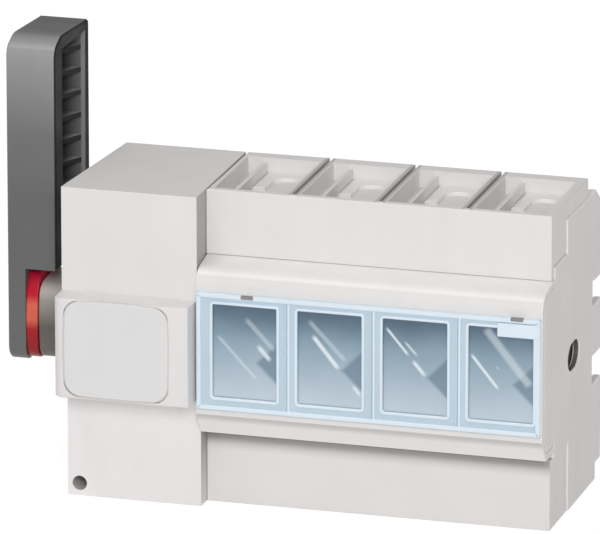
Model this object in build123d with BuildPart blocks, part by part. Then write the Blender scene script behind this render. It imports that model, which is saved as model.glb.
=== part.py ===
from build123d import *
import os
from math import atan2, cos, hypot, radians, sin

# Modular switch disconnector with a side lever, windows over the poles and terminals top and bottom.
# Origin: on the base plane, below the shaft axis, at mid-width of the body.
# +X runs to the right, +Y towards the mounting rail, +Z up. Lengths are in millimetres.

# Body outline
mech_width = 44.5
wall = 2.4
fit_gap = 0.2
edge_round = 0.6

# Contacts, one set in each pole, laid out from the shaft axis outwards
pole_count = 4
pole_pitch = 28.25
partition = 2.4
rotor_radius = 9.5
rotor_half_length = 8.0
rotor_journal_radius = 6.5
blade_thickness = 3.0
blade_radius = 14.0
blade_width = 11.0
blade_slot_play = 0.2
blade_rear_gap = 0.5
jaw_clearance = 0.7
jaw_gap = 0.3
jaw_thickness = 1.6
jaw_width = 8.0
bridge_clearance = 3.0
bridge_height = 6.0
chamber_headroom = 2.0
stem_width = 8.0
stem_thickness = 3.0
stem_front = 1.0
stem_overrun = 1.0
rear_wall = 3.0
frame_front_gap = 0.2

# Terminal clamps, their screws and the arc chutes
clamp_lift = 2.6
clamp_height = 12.0
clamp_width = 14.0
clamp_front = 15.0
clamp_wall = 2.0
clamp_screw_radius = 3.0
clamp_screw_head_radius = 4.2
clamp_screw_head_height = 3.4
clamp_screw_slot_length = 6.7
clamp_screw_slot_width = 1.0
clamp_screw_slot_depth = 1.1
clamp_screw_reach = 2.0
terminal_floor_gap = 4.4
terminal_headroom = 2.5
chute_front = 20.5
chute_front_gap = 3.9
chute_pitch = 3.2
chute_plates = 4
chute_plate_thickness = 1.0
chute_board = 0.8
chute_blade_gap = 2.0
chute_half_width = 9.6
chute_play = 0.2

# Nose of the poles, measured from the shaft axis and from the shoulders
pole_nose_depth = 12.5
nose_top_reach = 31.8
nose_bottom_reach = 25.0
pole_nose_fall = 2.2
pole_nose_round = 5.5
pole_nose_chin_height = 7.4
pole_nose_chin_depth = 5.3

# Mechanism block
mech_upper_depth = 10.2
mech_lower_depth = 6.2
mech_nose_depth = 20.2
mech_nose_top_reach = 19.4
mech_nose_bottom_reach = 13.4
mech_nose_round = 3.2
mech_taper = 4.7
mech_side_boss_radius = 14.2
side_boss_inset = 1.9
corner_post = 8.6
screw_inset = 4.2
screw_hole_radius = 2.4
screw_hole_depth = 12.0
screw_head_radius = 2.2
screw_head_height = 1.8
screw_slot_length = 3.3
screw_slot_width = 0.5
screw_slot_depth = 0.9
screw_shank_radius = 1.5
screw_shank_length = 16.0

# Shaft
shaft_square = 7.0
shaft_play = 0.1
journal_radius = 6.0
running_clearance = 0.05
tenon_square = 8.2
tenon_length = 3.0
shaft_end_inset = 4.0
shaft_socket_radius = 2.6
shaft_socket_depth = 10.0

# Lever, red collar and bushing, measured outwards from the mechanism's left face and from the shaft axis
lever_gap = 9.3
lever_width = 16.4
lever_layer = 6.0
lever_front = 13.5
lever_rear = 22.5
lever_top_reach = 93.5
lever_grip_reach = 17.5
lever_blend_top = 36.0
lever_blend_bottom = 10.0
lever_foot_round = 5.0
lever_nose_run = 7.5
lever_nose_drop = 3.0
lever_nose_round = 5.0
lever_top_round = 8.0
lever_rear_drop = 1.8
lever_rear_round = 1.2
lever_wall = 2.8
lever_front_wall = 7.5
lever_rear_wall = 4.2
lever_floor = 2.6
rib_recess = 1.5
rib_thickness = 1.8
rib_pitch = 7.5
rib_top_drop = 6.4
collar_half = 12.2
collar_bulge = 1.2
collar_corner = 5.0
collar_thickness = 3.9
bushing_half = 11.8
lever_screw_head_radius = 3.6
lever_screw_head_height = 2.0
lever_screw_socket_radius = 2.0
lever_screw_socket_depth = 1.0
lever_screw_shank_radius = 2.0
lever_screw_shank_length = 12.0

# Toggle mechanism
crank_inset = 23.75
crank_thickness = 4.0
crank_hub_radius = 8.0
crank_end_radius = 3.0
crank_throw = 10.0
crank_angle = 45.0
crank_pin_radius = 1.5
crank_pin_overrun = 3.4
toggle_reach = 30.0
toggle_pin_radius = 2.0
toggle_pin_overrun = 2.25
fork_thickness = 2.0
fork_side_gap = 1.6
fork_eye_radius = 4.4
fork_tip = 0.2
fork_slot_play = 0.9
fork_slot_end = 1.3
fork_prong_width = 1.8
fork_stem_width = 3.6
fork_bridge = 2.0
spring_radius = 3.6
spring_wire = 0.6
spring_pitch = 2.4
boss_radius = 4.0

# Terminal shrouds
shroud_band = 6.0
well_sink = 1.5
shroud_side_depth = 18.0
shroud_rear_step = 1.0
shroud_rear_band = 5.5
shroud_end_inset = 0.6
flange_lift = 4.2
lower_shroud_gap = 2.2
lower_shroud_side_depth = 20.5
well_floor = 1.6
well_side = 1.5
well_divider_x = 8.0
well_divider = 1.2
well_divider_drop = 1.4
groove_width = 1.3
groove_depth = 2.5
entry_width = 9.6
entry_front = 19.0
entry_rear = 5.5
entry_corner = 1.5

# Window cover over the poles
window_sill = 2.6
window_head = 0.8
window_proud = 2.0
window_left_margin = 0.9
window_right_margin = 0.3
pane_pitch_drop = 0.5
pane_gap = 6.95
pane_sill = 4.4
pane_head = 3.5
pane_first_x = 6.35
pane_recess = 0.7
rim_line_inset = 1.3
rim_line_width = 0.7
rim_line_depth = 0.35
tab_width = 13.7
tab_height = 6.0
tab_proud = 0.8
latch_slot_width = 5.6
latch_slot_height = 1.7
latch_left_x = 14.6
latch_right_x = 5.6
latch_leg_height = 1.1
latch_leg_reach = 3.2

# Blanking plate in the nose of the mechanism
plate_left_margin = 4.2
plate_right_margin = 7.1
plate_sill = 1.4
plate_head = 1.0
plate_corner = 5.0
plate_bulge = 0.6
plate_recess = 1.2
plate_gap = 0.4

# Rear base, rail slot and rail clips
rail_offset = 0.8
rail_half_height = 17.55
rail_floor = 6.0
rail_pocket_depth = 11.5
rail_boss_half_height = 8.5
rail_lip_drop = 1.4
rail_lip_depth = 2.2
rear_foot_height = 5.5
rear_foot_step = 6.5
rear_shoulder_step = 8.0
rear_slope_drop = 6.0
end_plate_thickness = 2.5
base_core_wall = 2.5
clip_width = 16.0
clip_spread = 96.0
clip_thickness = 4.6
clip_play = 0.25
clip_hook_height = 2.2
clip_chamfer = 1.5
clip_travel = 4.0
clip_foot_margin = 0.7
clip_window_width = 9.0
clip_window_bottom = 12.0
clip_window_top = 24.0
clip_spring_width = 3.0
clip_spring_strip = 0.5
clip_spring_bow = 3.6
clip_spring_play = 0.1
clip_peg_height = 3.0
coupling_half_height = 5.3
coupling_half_length = 7.3

os.makedirs("parts", exist_ok=True)

# Heights, from the contacts outwards; a reach is a distance from the shaft axis
jaw_reach = rotor_radius + jaw_clearance
bridge_reach = blade_radius + bridge_clearance
jaw_top_reach = bridge_reach + bridge_height
chamber_half = jaw_top_reach + chamber_headroom
clamp_reach = chamber_half + partition + clamp_lift
stem_reach = clamp_reach + clamp_height + stem_overrun
axis_height = wall + fit_gap + terminal_floor_gap + stem_reach
jaw_bottom = axis_height + jaw_reach
jaw_bridge_bottom = axis_height + bridge_reach
jaw_top = axis_height + jaw_top_reach
stem_top = axis_height + stem_reach
clamp_bottom = axis_height + clamp_reach
clamp_top = clamp_bottom + clamp_height
chamber_top = axis_height + chamber_half
chute_bottom = axis_height + blade_radius + chute_blade_gap
shroud_inner_top = stem_top + terminal_headroom
band_bottom = shroud_inner_top + well_sink
body_height = band_bottom + shroud_band
pole_nose_top = axis_height + nose_top_reach
pole_nose_bottom = axis_height - nose_bottom_reach
mech_nose_top = axis_height + mech_nose_top_reach
mech_nose_bottom = axis_height - mech_nose_bottom_reach
lever_top = axis_height + lever_top_reach
lever_grip_bottom = axis_height + lever_grip_reach
rail_centre = axis_height + rail_offset
rail_bottom = rail_centre - rail_half_height
rail_top = rail_centre + rail_half_height
rail_boss_bottom = rail_centre - rail_boss_half_height
rail_boss_top = rail_centre + rail_boss_half_height
rear_shoulder_top = band_bottom
rear_slope_bottom = rear_shoulder_top - rear_slope_drop

# Depths, from the shaft axis to the front and to the rear
shoulder_y = -(chute_front + chute_front_gap + frame_front_gap + wall)
nose_y = shoulder_y - pole_nose_depth
frame_front_y = shoulder_y + wall + frame_front_gap
frame_back_y = blade_radius + blade_rear_gap + rear_wall
shroud_back_y = frame_back_y + shroud_rear_step
rail_y = frame_back_y + rail_floor
back_y = rail_y + rail_pocket_depth
rear_foot_y = back_y - rear_foot_step
rear_shoulder_y = back_y - rear_shoulder_step

# Places across the body
body_width = mech_width + pole_count * pole_pitch
left_x = -body_width / 2
right_x = body_width / 2
mech_right_x = left_x + mech_width
pole_left_x = mech_right_x
frame_right_x = right_x - end_plate_thickness
pole_centres = [pole_left_x + (i + 0.5) * pole_pitch for i in range(pole_count)]
mirror_plane = Plane.XY.offset(axis_height)


def side(x):
    """Plane facing +X, whose sketch axes are Y and Z."""
    return Plane.YZ.offset(x)


def front(y):
    """Plane facing the front, whose sketch axes are X and Z."""
    return Plane.XZ.offset(-y)


def face_of(points):
    """Closed outline through the points, added to the sketch in hand."""
    Polygon(*points, align=None)


def nose_outline(rear_y):
    """Side view of the poles' nose, carried back to rear_y."""
    chin_y = nose_y + pole_nose_chin_depth
    face_of([
        (rear_y, pole_nose_top),
        (shoulder_y, pole_nose_top),
        (nose_y, pole_nose_top - pole_nose_fall),
        (nose_y, pole_nose_bottom + pole_nose_chin_height),
        (chin_y, pole_nose_bottom),
        (rear_y, pole_nose_bottom),
    ])


def top_of_nose(sketch):
    """Corner where the nose turns from its top to its front."""
    return sketch.vertices().group_by(Axis.X)[0].sort_by(Axis.Y)[-1]


def round_corner(sketch, y, z, radius):
    """Rounds the corner of a side view that lies nearest to a point."""
    fillet(sketch.vertices().sort_by_distance((y, z, 0))[0], radius=radius)


def bowed_outline(plane, half_width, half_height, bulge, corner):
    """Rounded rectangle with slightly bowed sides, about the plane's origin."""
    with BuildSketch(plane) as outline:
        with BuildLine():
            ThreePointArc((-half_width, half_height), (0, half_height + bulge), (half_width, half_height))
            ThreePointArc((half_width, half_height), (half_width + bulge, 0), (half_width, -half_height))
            ThreePointArc((half_width, -half_height), (0, -half_height - bulge), (-half_width, -half_height))
            ThreePointArc((-half_width, -half_height), (-half_width - bulge, 0), (-half_width, half_height))
        make_face()
        fillet(outline.vertices(), radius=corner)
    return outline.sketch


def block(x0, x1, y0, y1, z0, z1, mode=Mode.ADD):
    """Rectangular block between two opposite corners."""
    with Locations(((x0 + x1) / 2, (y0 + y1) / 2, (z0 + z1) / 2)):
        Box(x1 - x0, y1 - y0, z1 - z0, mode=mode)


# Mechanism housing: a deep shell with a stepped front, open towards the rear base
mech_upper_y = shoulder_y - mech_upper_depth
mech_lower_y = shoulder_y - mech_lower_depth
mech_nose_y = shoulder_y - mech_nose_depth


def mech_profile():
    """Side view of the mechanism housing."""
    face_of([
        (mech_lower_y, 0),
        (mech_lower_y, mech_nose_bottom),
        (mech_nose_y, mech_nose_bottom),
        (mech_nose_y, mech_nose_top),
        (mech_upper_y, mech_nose_top),
        (mech_upper_y, body_height),
        (frame_back_y, body_height),
        (frame_back_y, 0),
    ])


def taper_wedge(inset):
    """Sketch of the strip cut from the left side, growing towards the back."""
    with BuildSketch(Plane.XY) as wedge:
        face_of([
            (left_x - wall, mech_upper_y),
            (left_x + inset, mech_upper_y),
            (left_x + mech_taper + inset, frame_back_y),
            (left_x + mech_taper + inset, frame_back_y + wall),
            (left_x - wall, frame_back_y + wall),
        ])
    return wedge.sketch


plate_half_width = (mech_width - plate_left_margin - plate_right_margin) / 2
plate_half_height = (mech_nose_top - plate_head - mech_nose_bottom - plate_sill) / 2
plate_x = left_x + plate_left_margin + plate_half_width
plate_z = mech_nose_bottom + plate_sill + plate_half_height


def plate_outline(y, grow):
    """Outline of the blanking plate, grown by a margin."""
    plane = Plane(origin=(plate_x, y, plate_z), x_dir=(1, 0, 0), z_dir=(0, -1, 0))
    return bowed_outline(plane, plate_half_width + grow, plate_half_height + grow, plate_bulge, plate_corner)


with BuildPart() as mechanism_cavity:
    with BuildSketch(side(left_x + wall)):
        mech_profile()
        offset(amount=-wall, kind=Kind.INTERSECTION)
        with Locations((frame_back_y, axis_height)):
            Rectangle(2 * wall, body_height - 2 * wall)
    extrude(amount=mech_right_x - left_x - 2 * wall)
    extrude(taper_wedge(wall), amount=body_height, mode=Mode.SUBTRACT)
    block(left_x, left_x + corner_post, mech_lower_y, frame_back_y + wall, 0, corner_post, Mode.SUBTRACT)

toggle_y = -toggle_reach
crank_x = mech_right_x - crank_inset
fork_x = crank_x - crank_thickness / 2 - fork_side_gap - fork_thickness
boss_end_x = crank_x + crank_thickness / 2 + fork_side_gap
journal_end_x = left_x + mech_taper + 2 * wall

with BuildPart() as mechanism_housing:
    with BuildSketch(side(left_x)):
        mech_profile()
    extrude(amount=mech_right_x - left_x)
    nose_edges = mechanism_housing.edges().filter_by(Axis.Z).group_by(Axis.Y)[0]
    fillet(nose_edges.sort_by(Axis.X)[0], radius=mech_nose_round)
    nose_rim = mechanism_housing.faces().filter_by(Axis.Y).sort_by(Axis.Y)[0].edges()
    fillet(nose_rim, radius=edge_round)
    extrude(taper_wedge(0), amount=body_height, mode=Mode.SUBTRACT)
    add(mechanism_cavity.part, mode=Mode.SUBTRACT)
    with BuildSketch(side(left_x + mech_taper + wall)):
        with Locations((0, axis_height)):
            Circle(mech_side_boss_radius)
    extrude(amount=-(mech_taper + wall - side_boss_inset))
    with BuildSketch(side(mech_right_x - wall)):
        with Locations((toggle_y, axis_height)):
            Circle(boss_radius)
    extrude(amount=-(mech_right_x - wall - boss_end_x))
    with BuildSketch(side(left_x)):
        with Locations((0, axis_height)):
            Circle(journal_radius + running_clearance)
    extrude(amount=mech_taper + 2 * wall, mode=Mode.SUBTRACT)
    with BuildSketch(side(mech_right_x)):
        with Locations((0, axis_height)):
            Circle(rotor_journal_radius + running_clearance)
    extrude(amount=-2 * wall, mode=Mode.SUBTRACT)
    with BuildSketch(side(boss_end_x)):
        with Locations((toggle_y, axis_height)):
            Circle(toggle_pin_radius)
    extrude(amount=mech_right_x - wall - boss_end_x, mode=Mode.SUBTRACT)
    extrude(plate_outline(mech_nose_y, plate_gap), amount=-plate_recess, mode=Mode.SUBTRACT)
    with BuildSketch(front(mech_lower_y)):
        with Locations((left_x + screw_inset, screw_inset)):
            Circle(screw_hole_radius)
    extrude(amount=-screw_hole_depth, mode=Mode.SUBTRACT)
    with BuildSketch(front(mech_lower_y)):
        with Locations((left_x + screw_inset, screw_inset)):
            Circle(screw_shank_radius)
    extrude(amount=-(screw_hole_depth + screw_shank_length), mode=Mode.SUBTRACT)

mechanism_housing.part.label = "mechanism_housing"
export_step(mechanism_housing.part, "parts/mechanism_housing.step")

# Blanking plate: a rounded square with slightly bowed sides, seated in the nose
with BuildPart() as blanking_plate:
    extrude(plate_outline(mech_nose_y + plate_recess, 0), amount=plate_recess + fit_gap)
    chamfer(blanking_plate.faces().sort_by(Axis.Y)[0].edges(), length=edge_round / 2)

blanking_plate.part.label = "blanking_plate"
export_step(blanking_plate.part, "parts/blanking_plate.step")

# Screw deep in the lower left corner
screw_seat_y = mech_lower_y + screw_hole_depth
with BuildPart() as housing_screw:
    with BuildSketch(front(screw_seat_y)):
        with Locations((left_x + screw_inset, screw_inset)):
            Circle(screw_head_radius)
    extrude(amount=screw_head_height)
    with BuildSketch(front(screw_seat_y - screw_head_height)):
        with Locations((left_x + screw_inset, screw_inset)):
            Rectangle(screw_slot_length, screw_slot_width)
            Rectangle(screw_slot_width, screw_slot_length)
    extrude(amount=-screw_slot_depth, mode=Mode.SUBTRACT)
    with BuildSketch(front(screw_seat_y)):
        with Locations((left_x + screw_inset, screw_inset)):
            Circle(screw_shank_radius - running_clearance)
    extrude(amount=-(screw_shank_length - fit_gap))

housing_screw.part.label = "housing_screw"
export_step(housing_screw.part, "parts/housing_screw.step")

# Rear base: rail slot with a hooked top, central boss, hollow cores open to the front
lip_y = rail_y + rail_lip_depth


def rail_side(front_points):
    """Side view of the back of the body, closed along the given front points."""
    face_of([
        (rear_foot_y, 0),
        (rear_foot_y, rear_foot_height),
        (back_y, rear_foot_height),
        (back_y, rail_bottom),
        (rail_y, rail_bottom),
        (rail_y, rail_boss_bottom),
        (back_y, rail_boss_bottom),
        (back_y, rail_boss_top),
        (rail_y, rail_boss_top),
        (rail_y, rail_top),
        (lip_y, rail_top),
        (lip_y, rail_top - rail_lip_drop),
        (back_y, rail_top - rail_lip_drop),
        (back_y, rear_slope_bottom),
        (rear_shoulder_y, rear_shoulder_top),
    ] + front_points)


base_left_x = left_x + mech_taper
base_right_x = frame_right_x - fit_gap
base_front_y = frame_back_y
core_width = pole_pitch - partition
core_centres = pole_centres + [(base_left_x + mech_right_x) / 2]
clip_centres = [-clip_spread / 2, clip_spread / 2]
clip_front_y = lip_y
clip_rear_y = clip_front_y + clip_thickness
channel_front_y = clip_front_y - clip_play
channel_half = clip_width / 2 + clip_play
clip_top = rail_bottom + clip_hook_height
clip_foot = clip_travel + clip_foot_margin
peg_bottom = clip_window_bottom + fit_gap
peg_top = peg_bottom + clip_peg_height

with BuildPart() as rear_base:
    with BuildSketch(side(base_left_x)):
        rail_side([(base_front_y, rear_shoulder_top), (base_front_y, 0)])
    extrude(amount=base_right_x - base_left_x)
    for x in core_centres:
        core_left = x - core_width / 2
        core_right = x + core_width / 2
        core_back = back_y - base_core_wall
        upper_core = (rail_top + base_core_wall, rear_slope_bottom - base_core_wall)
        boss_core = (rail_boss_bottom + base_core_wall, rail_boss_top - base_core_wall)
        lower_core = (base_core_wall, rail_bottom - base_core_wall)
        core_floor = channel_front_y - base_core_wall
        block(core_left, core_right, base_front_y, core_back, *upper_core, Mode.SUBTRACT)
        block(core_left, core_right, base_front_y, core_back, *boss_core, Mode.SUBTRACT)
        block(core_left, core_right, base_front_y, core_floor, *lower_core, Mode.SUBTRACT)
    for x in clip_centres:
        block(x - channel_half, x + channel_half, channel_front_y, clip_rear_y + clip_play,
              0, rail_bottom, Mode.SUBTRACT)
        block(x - clip_spring_width / 2, x + clip_spring_width / 2, channel_front_y - base_core_wall,
              clip_rear_y, peg_bottom, peg_top)

rear_base.part.label = "rear_base"
export_step(rear_base.part, "parts/rear_base.step")

# Rail clips: each slides down in its channel, and its hook holds the rail's lower edge
for i, x in enumerate(clip_centres):
    side_name = ("left", "right")[i]
    with BuildPart() as rail_clip:
        block(x - clip_width / 2, x + clip_width / 2, clip_front_y, clip_rear_y, clip_foot, clip_top)
        hook_edge = rail_clip.faces().sort_by(Axis.Z)[-1].edges().filter_by(Axis.X).sort_by(Axis.Y)[-1]
        chamfer(hook_edge, length=clip_chamfer)
        block(x - clip_window_width / 2, x + clip_window_width / 2, clip_front_y, clip_rear_y,
              clip_window_bottom, clip_window_top, Mode.SUBTRACT)
    rail_clip.part.label = f"rail_clip_{side_name}"
    export_step(rail_clip.part, f"parts/rail_clip_{side_name}.step")

    spring_bottom = peg_top + clip_spring_play
    spring_half = (clip_window_top - clip_spring_play - spring_bottom) / 2
    spring_inner = (clip_spring_bow - clip_spring_strip, spring_half - clip_spring_strip)
    with BuildPart() as clip_spring:
        with BuildSketch(front((clip_front_y + clip_rear_y + clip_spring_width) / 2)):
            with Locations((x, spring_bottom + spring_half)):
                Ellipse(clip_spring_bow, spring_half)
                Ellipse(*spring_inner, mode=Mode.SUBTRACT)
        extrude(amount=clip_spring_width)
    clip_spring.part.label = f"clip_spring_{side_name}"
    export_step(clip_spring.part, f"parts/clip_spring_{side_name}.step")

# Pole frame: in each pole a contact chamber between an upper and a lower terminal chamber
lower_chamber_top = 2 * axis_height - chamber_top
shroud_inner_bottom = wall + fit_gap
frame_left_x = mech_right_x + fit_gap
cell_width = pole_pitch - partition
with BuildPart() as pole_frame:
    block(frame_left_x, frame_right_x - fit_gap, frame_front_y, frame_back_y,
          shroud_inner_bottom, shroud_inner_top - fit_gap)
    for x in pole_centres:
        cell_left = x - cell_width / 2
        cell_right = min(x + cell_width / 2, frame_right_x - fit_gap - partition / 2)
        chambers = [
            (shroud_inner_bottom, lower_chamber_top - partition),
            (lower_chamber_top, chamber_top),
            (chamber_top + partition, shroud_inner_top),
        ]
        for low, high in chambers:
            block(cell_left, cell_right, frame_front_y, frame_back_y - rear_wall, low, high, Mode.SUBTRACT)
        block(x - stem_width / 2 - fit_gap, x + stem_width / 2 + fit_gap, stem_front - fit_gap,
              stem_front + stem_thickness + fit_gap, lower_chamber_top - partition,
              chamber_top + partition, Mode.SUBTRACT)
    with BuildSketch(side(frame_left_x)):
        with Locations((0, axis_height)):
            Circle(rotor_journal_radius + running_clearance)
    extrude(amount=frame_right_x - frame_left_x, mode=Mode.SUBTRACT)

pole_frame.part.label = "pole_frame"
export_step(pole_frame.part, "parts/pole_frame.step")

# Front cover of the poles: the nose as a channel with a window opening over each pole
window_left_x = pole_left_x + window_left_margin
window_right_x = right_x - window_right_margin
window_bottom = pole_nose_bottom + pole_nose_chin_height + window_sill
window_top = pole_nose_top - pole_nose_fall - pole_nose_round - window_head
pane_pitch = pole_pitch - pane_pitch_drop
pane_width = pane_pitch - pane_gap
pane_bottom = window_bottom + pane_sill
pane_top = window_top - pane_head
tab_bottom = window_top - tab_height
pane_centres = [pole_left_x + pane_first_x + pane_width / 2 + i * pane_pitch for i in range(pole_count)]
pane_middle = (pane_bottom + pane_top) / 2
pane_height = pane_top - pane_bottom
latch_xs = [
    pole_left_x + latch_left_x + latch_slot_width / 2,
    right_x - latch_right_x - latch_slot_width / 2,
]
latch_top = window_top + latch_slot_height / 2
cover_rear_y = shoulder_y + wall + frame_front_gap
with BuildPart() as front_cover:
    with BuildSketch(side(pole_left_x + fit_gap)) as cover_sketch:
        nose_outline(cover_rear_y)
        fillet(top_of_nose(cover_sketch), radius=pole_nose_round)
    extrude(amount=right_x - pole_left_x - fit_gap)
    with BuildSketch(side(pole_left_x + fit_gap + wall)) as hollow_sketch:
        nose_outline(back_y)
        fillet(top_of_nose(hollow_sketch), radius=pole_nose_round)
        offset(amount=-wall, kind=Kind.INTERSECTION)
    extrude(amount=body_width, mode=Mode.SUBTRACT)
    with BuildSketch(front(nose_y)):
        with Locations([(x, pane_middle) for x in pane_centres]):
            Rectangle(pane_width, pane_height)
    extrude(amount=-2 * wall, mode=Mode.SUBTRACT)
    with BuildSketch(front(nose_y)):
        with Locations([(x, latch_top - latch_slot_height) for x in latch_xs]):
            Rectangle(latch_slot_width, 2 * latch_slot_height)
    extrude(amount=-2 * wall, mode=Mode.SUBTRACT)

front_cover.part.label = "front_cover"
export_step(front_cover.part, "parts/front_cover.step")

# Window cover: one transparent plate with a recessed pane over each pole and a tab at its top right
window_front_y = nose_y - window_proud
rim_inner_width = pane_width + 2 * rim_line_inset
rim_inner_height = pane_height + 2 * rim_line_inset
with BuildPart() as window_cover:
    block(window_left_x, window_right_x, window_front_y, nose_y, window_bottom, window_top)
    front_rim = window_cover.faces().sort_by(Axis.Y)[0].edges()
    fillet(front_rim, radius=edge_round / 2)
    block(window_right_x - tab_width, window_right_x, window_front_y - tab_proud, nose_y,
          tab_bottom, window_top)
    with BuildSketch(front(window_front_y)):
        with Locations([(x, pane_middle) for x in pane_centres]):
            Rectangle(pane_width, pane_height)
        with Locations((window_right_x - tab_width / 2, (tab_bottom + window_top) / 2)):
            Rectangle(tab_width, window_top - tab_bottom, mode=Mode.SUBTRACT)
    extrude(amount=-pane_recess, mode=Mode.SUBTRACT)
    with BuildSketch(front(window_front_y)):
        with Locations([(x, pane_middle) for x in pane_centres]):
            Rectangle(rim_inner_width + 2 * rim_line_width, rim_inner_height + 2 * rim_line_width)
            Rectangle(rim_inner_width, rim_inner_height, mode=Mode.SUBTRACT)
        with Locations((window_right_x - tab_width / 2, (tab_bottom + window_top) / 2)):
            Rectangle(tab_width, window_top - tab_bottom, mode=Mode.SUBTRACT)
    extrude(amount=-rim_line_depth, mode=Mode.SUBTRACT)
    with BuildSketch(front(nose_y)):
        with Locations([(x, window_top) for x in latch_xs]):
            Rectangle(latch_slot_width, latch_slot_height)
    extrude(amount=window_proud + tab_proud, mode=Mode.SUBTRACT)
    with BuildSketch(front(nose_y)):
        with Locations([(x, window_top - latch_slot_height / 2 - latch_leg_height / 2) for x in latch_xs]):
            Rectangle(latch_slot_width - 2 * fit_gap, latch_leg_height)
    extrude(amount=-latch_leg_reach)

window_cover.part.label = "window_cover"
export_step(window_cover.part, "parts/window_cover.step")

# Terminal shrouds: the upper one has a pocketed top, both have a cable entry over each pole
shroud_left_x = pole_left_x + fit_gap
shroud_right_x = right_x - shroud_end_inset
shroud_wall_y = shoulder_y + wall
flange_rear_y = shoulder_y + shroud_side_depth
flange_bottom = pole_nose_top + flange_lift
lower_flange_rear_y = shoulder_y + lower_shroud_side_depth
well_bottom = shroud_inner_top + well_floor
well_rear_y = shroud_back_y - shroud_rear_band
entry_middle = -(entry_rear + entry_front) / 2
entry_length = entry_front - entry_rear
lower_shroud_height = pole_nose_bottom - lower_shroud_gap
with BuildPart() as upper_terminal_shroud:
    block(shroud_left_x, shroud_right_x, shoulder_y, shroud_back_y, band_bottom, body_height)
    block(shroud_left_x, frame_right_x - fit_gap, shoulder_y, well_rear_y + wall,
          shroud_inner_top, band_bottom)
    block(shroud_left_x, shroud_right_x, shoulder_y, shroud_wall_y, pole_nose_top + fit_gap, body_height)
    block(frame_right_x, shroud_right_x, shoulder_y, flange_rear_y, flange_bottom, band_bottom)
    top_rim = upper_terminal_shroud.faces().sort_by(Axis.Z)[-1].edges()
    fillet(top_rim, radius=edge_round)
    for x in pole_centres:
        well_left_x = x - pole_pitch / 2 + groove_width / 2 + well_side
        well_right_x = min(x + pole_pitch / 2 - groove_width / 2 - well_side, shroud_right_x - wall)
        block(well_left_x, well_right_x, shroud_wall_y, well_rear_y, well_bottom, body_height, Mode.SUBTRACT)
        divider_x = x - pole_pitch / 2 + well_divider_x
        block(divider_x - well_divider / 2, divider_x + well_divider / 2, shroud_wall_y, well_rear_y,
              well_bottom, body_height - well_divider_drop)
        groove_x = x + pole_pitch / 2
        if groove_x < frame_right_x:
            block(groove_x - groove_width / 2, groove_x + groove_width / 2, shoulder_y, shroud_back_y,
                  body_height - groove_depth, body_height, Mode.SUBTRACT)
    with BuildSketch(Plane.XY.offset(body_height)):
        with Locations([(x, entry_middle) for x in pole_centres]):
            RectangleRounded(entry_width, entry_length, entry_corner)
    extrude(amount=shroud_inner_top - body_height, mode=Mode.SUBTRACT)

upper_terminal_shroud.part.label = "upper_terminal_shroud"
export_step(upper_terminal_shroud.part, "parts/upper_terminal_shroud.step")

with BuildPart() as lower_terminal_shroud:
    block(shroud_left_x, shroud_right_x, shoulder_y, shroud_wall_y, 0, lower_shroud_height)
    block(shroud_left_x, frame_right_x - fit_gap, shoulder_y, frame_back_y - fit_gap, 0, wall)
    block(frame_right_x, shroud_right_x, shoulder_y, lower_flange_rear_y, 0, lower_shroud_height)
    with BuildSketch(Plane.XY):
        with Locations([(x, entry_middle) for x in pole_centres]):
            RectangleRounded(entry_width, entry_length, entry_corner)
    extrude(amount=wall, mode=Mode.SUBTRACT)

lower_terminal_shroud.part.label = "lower_terminal_shroud"
export_step(lower_terminal_shroud.part, "parts/lower_terminal_shroud.step")

# End plate: closes the right side, and its opening shows the end of the shaft
with BuildPart() as end_plate:
    with BuildSketch(side(frame_right_x)):
        rail_side([
            (flange_rear_y + fit_gap, rear_shoulder_top),
            (flange_rear_y + fit_gap, flange_bottom - fit_gap),
            (frame_front_y + fit_gap, flange_bottom - fit_gap),
            (frame_front_y + fit_gap, lower_shroud_height + fit_gap),
            (lower_flange_rear_y + fit_gap, lower_shroud_height + fit_gap),
            (lower_flange_rear_y + fit_gap, 0),
        ])
    extrude(amount=end_plate_thickness)
    with BuildSketch(side(frame_right_x)) as nose_sketch:
        nose_outline(0)
        fillet(top_of_nose(nose_sketch), radius=pole_nose_round)
        offset(amount=-wall - fit_gap, kind=Kind.INTERSECTION)
    extrude(amount=end_plate_thickness)
    with BuildSketch(side(frame_right_x)):
        with Locations((0, axis_height)):
            SlotOverall(2 * coupling_half_length, 2 * coupling_half_height)
    extrude(amount=end_plate_thickness, mode=Mode.SUBTRACT)

end_plate.part.label = "end_plate"
export_step(end_plate.part, "parts/end_plate.step")

# Lever: an outer layer down to the shaft, and a hollow grip open to the right with cross ribs
lever_inner_x = left_x - lever_gap
lever_outer_x = lever_inner_x - lever_width
lever_step_x = lever_outer_x + lever_layer
lever_floor_x = lever_outer_x + lever_floor
lever_front_y = -lever_front
hollow_front_y = lever_front_y + lever_front_wall
hollow_rear_y = lever_rear - lever_rear_wall
hollow_bottom = lever_grip_bottom + lever_wall
hollow_top = lever_top - lever_rear_drop - lever_wall
rib_top = lever_top - lever_wall - rib_top_drop
rib_count = int((rib_top - rib_thickness - hollow_bottom) / rib_pitch) + 1
lever_nose_z = lever_top - lever_nose_drop
lever_rear_top = lever_top - lever_rear_drop
lever_foot_z = axis_height - lever_front


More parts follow.
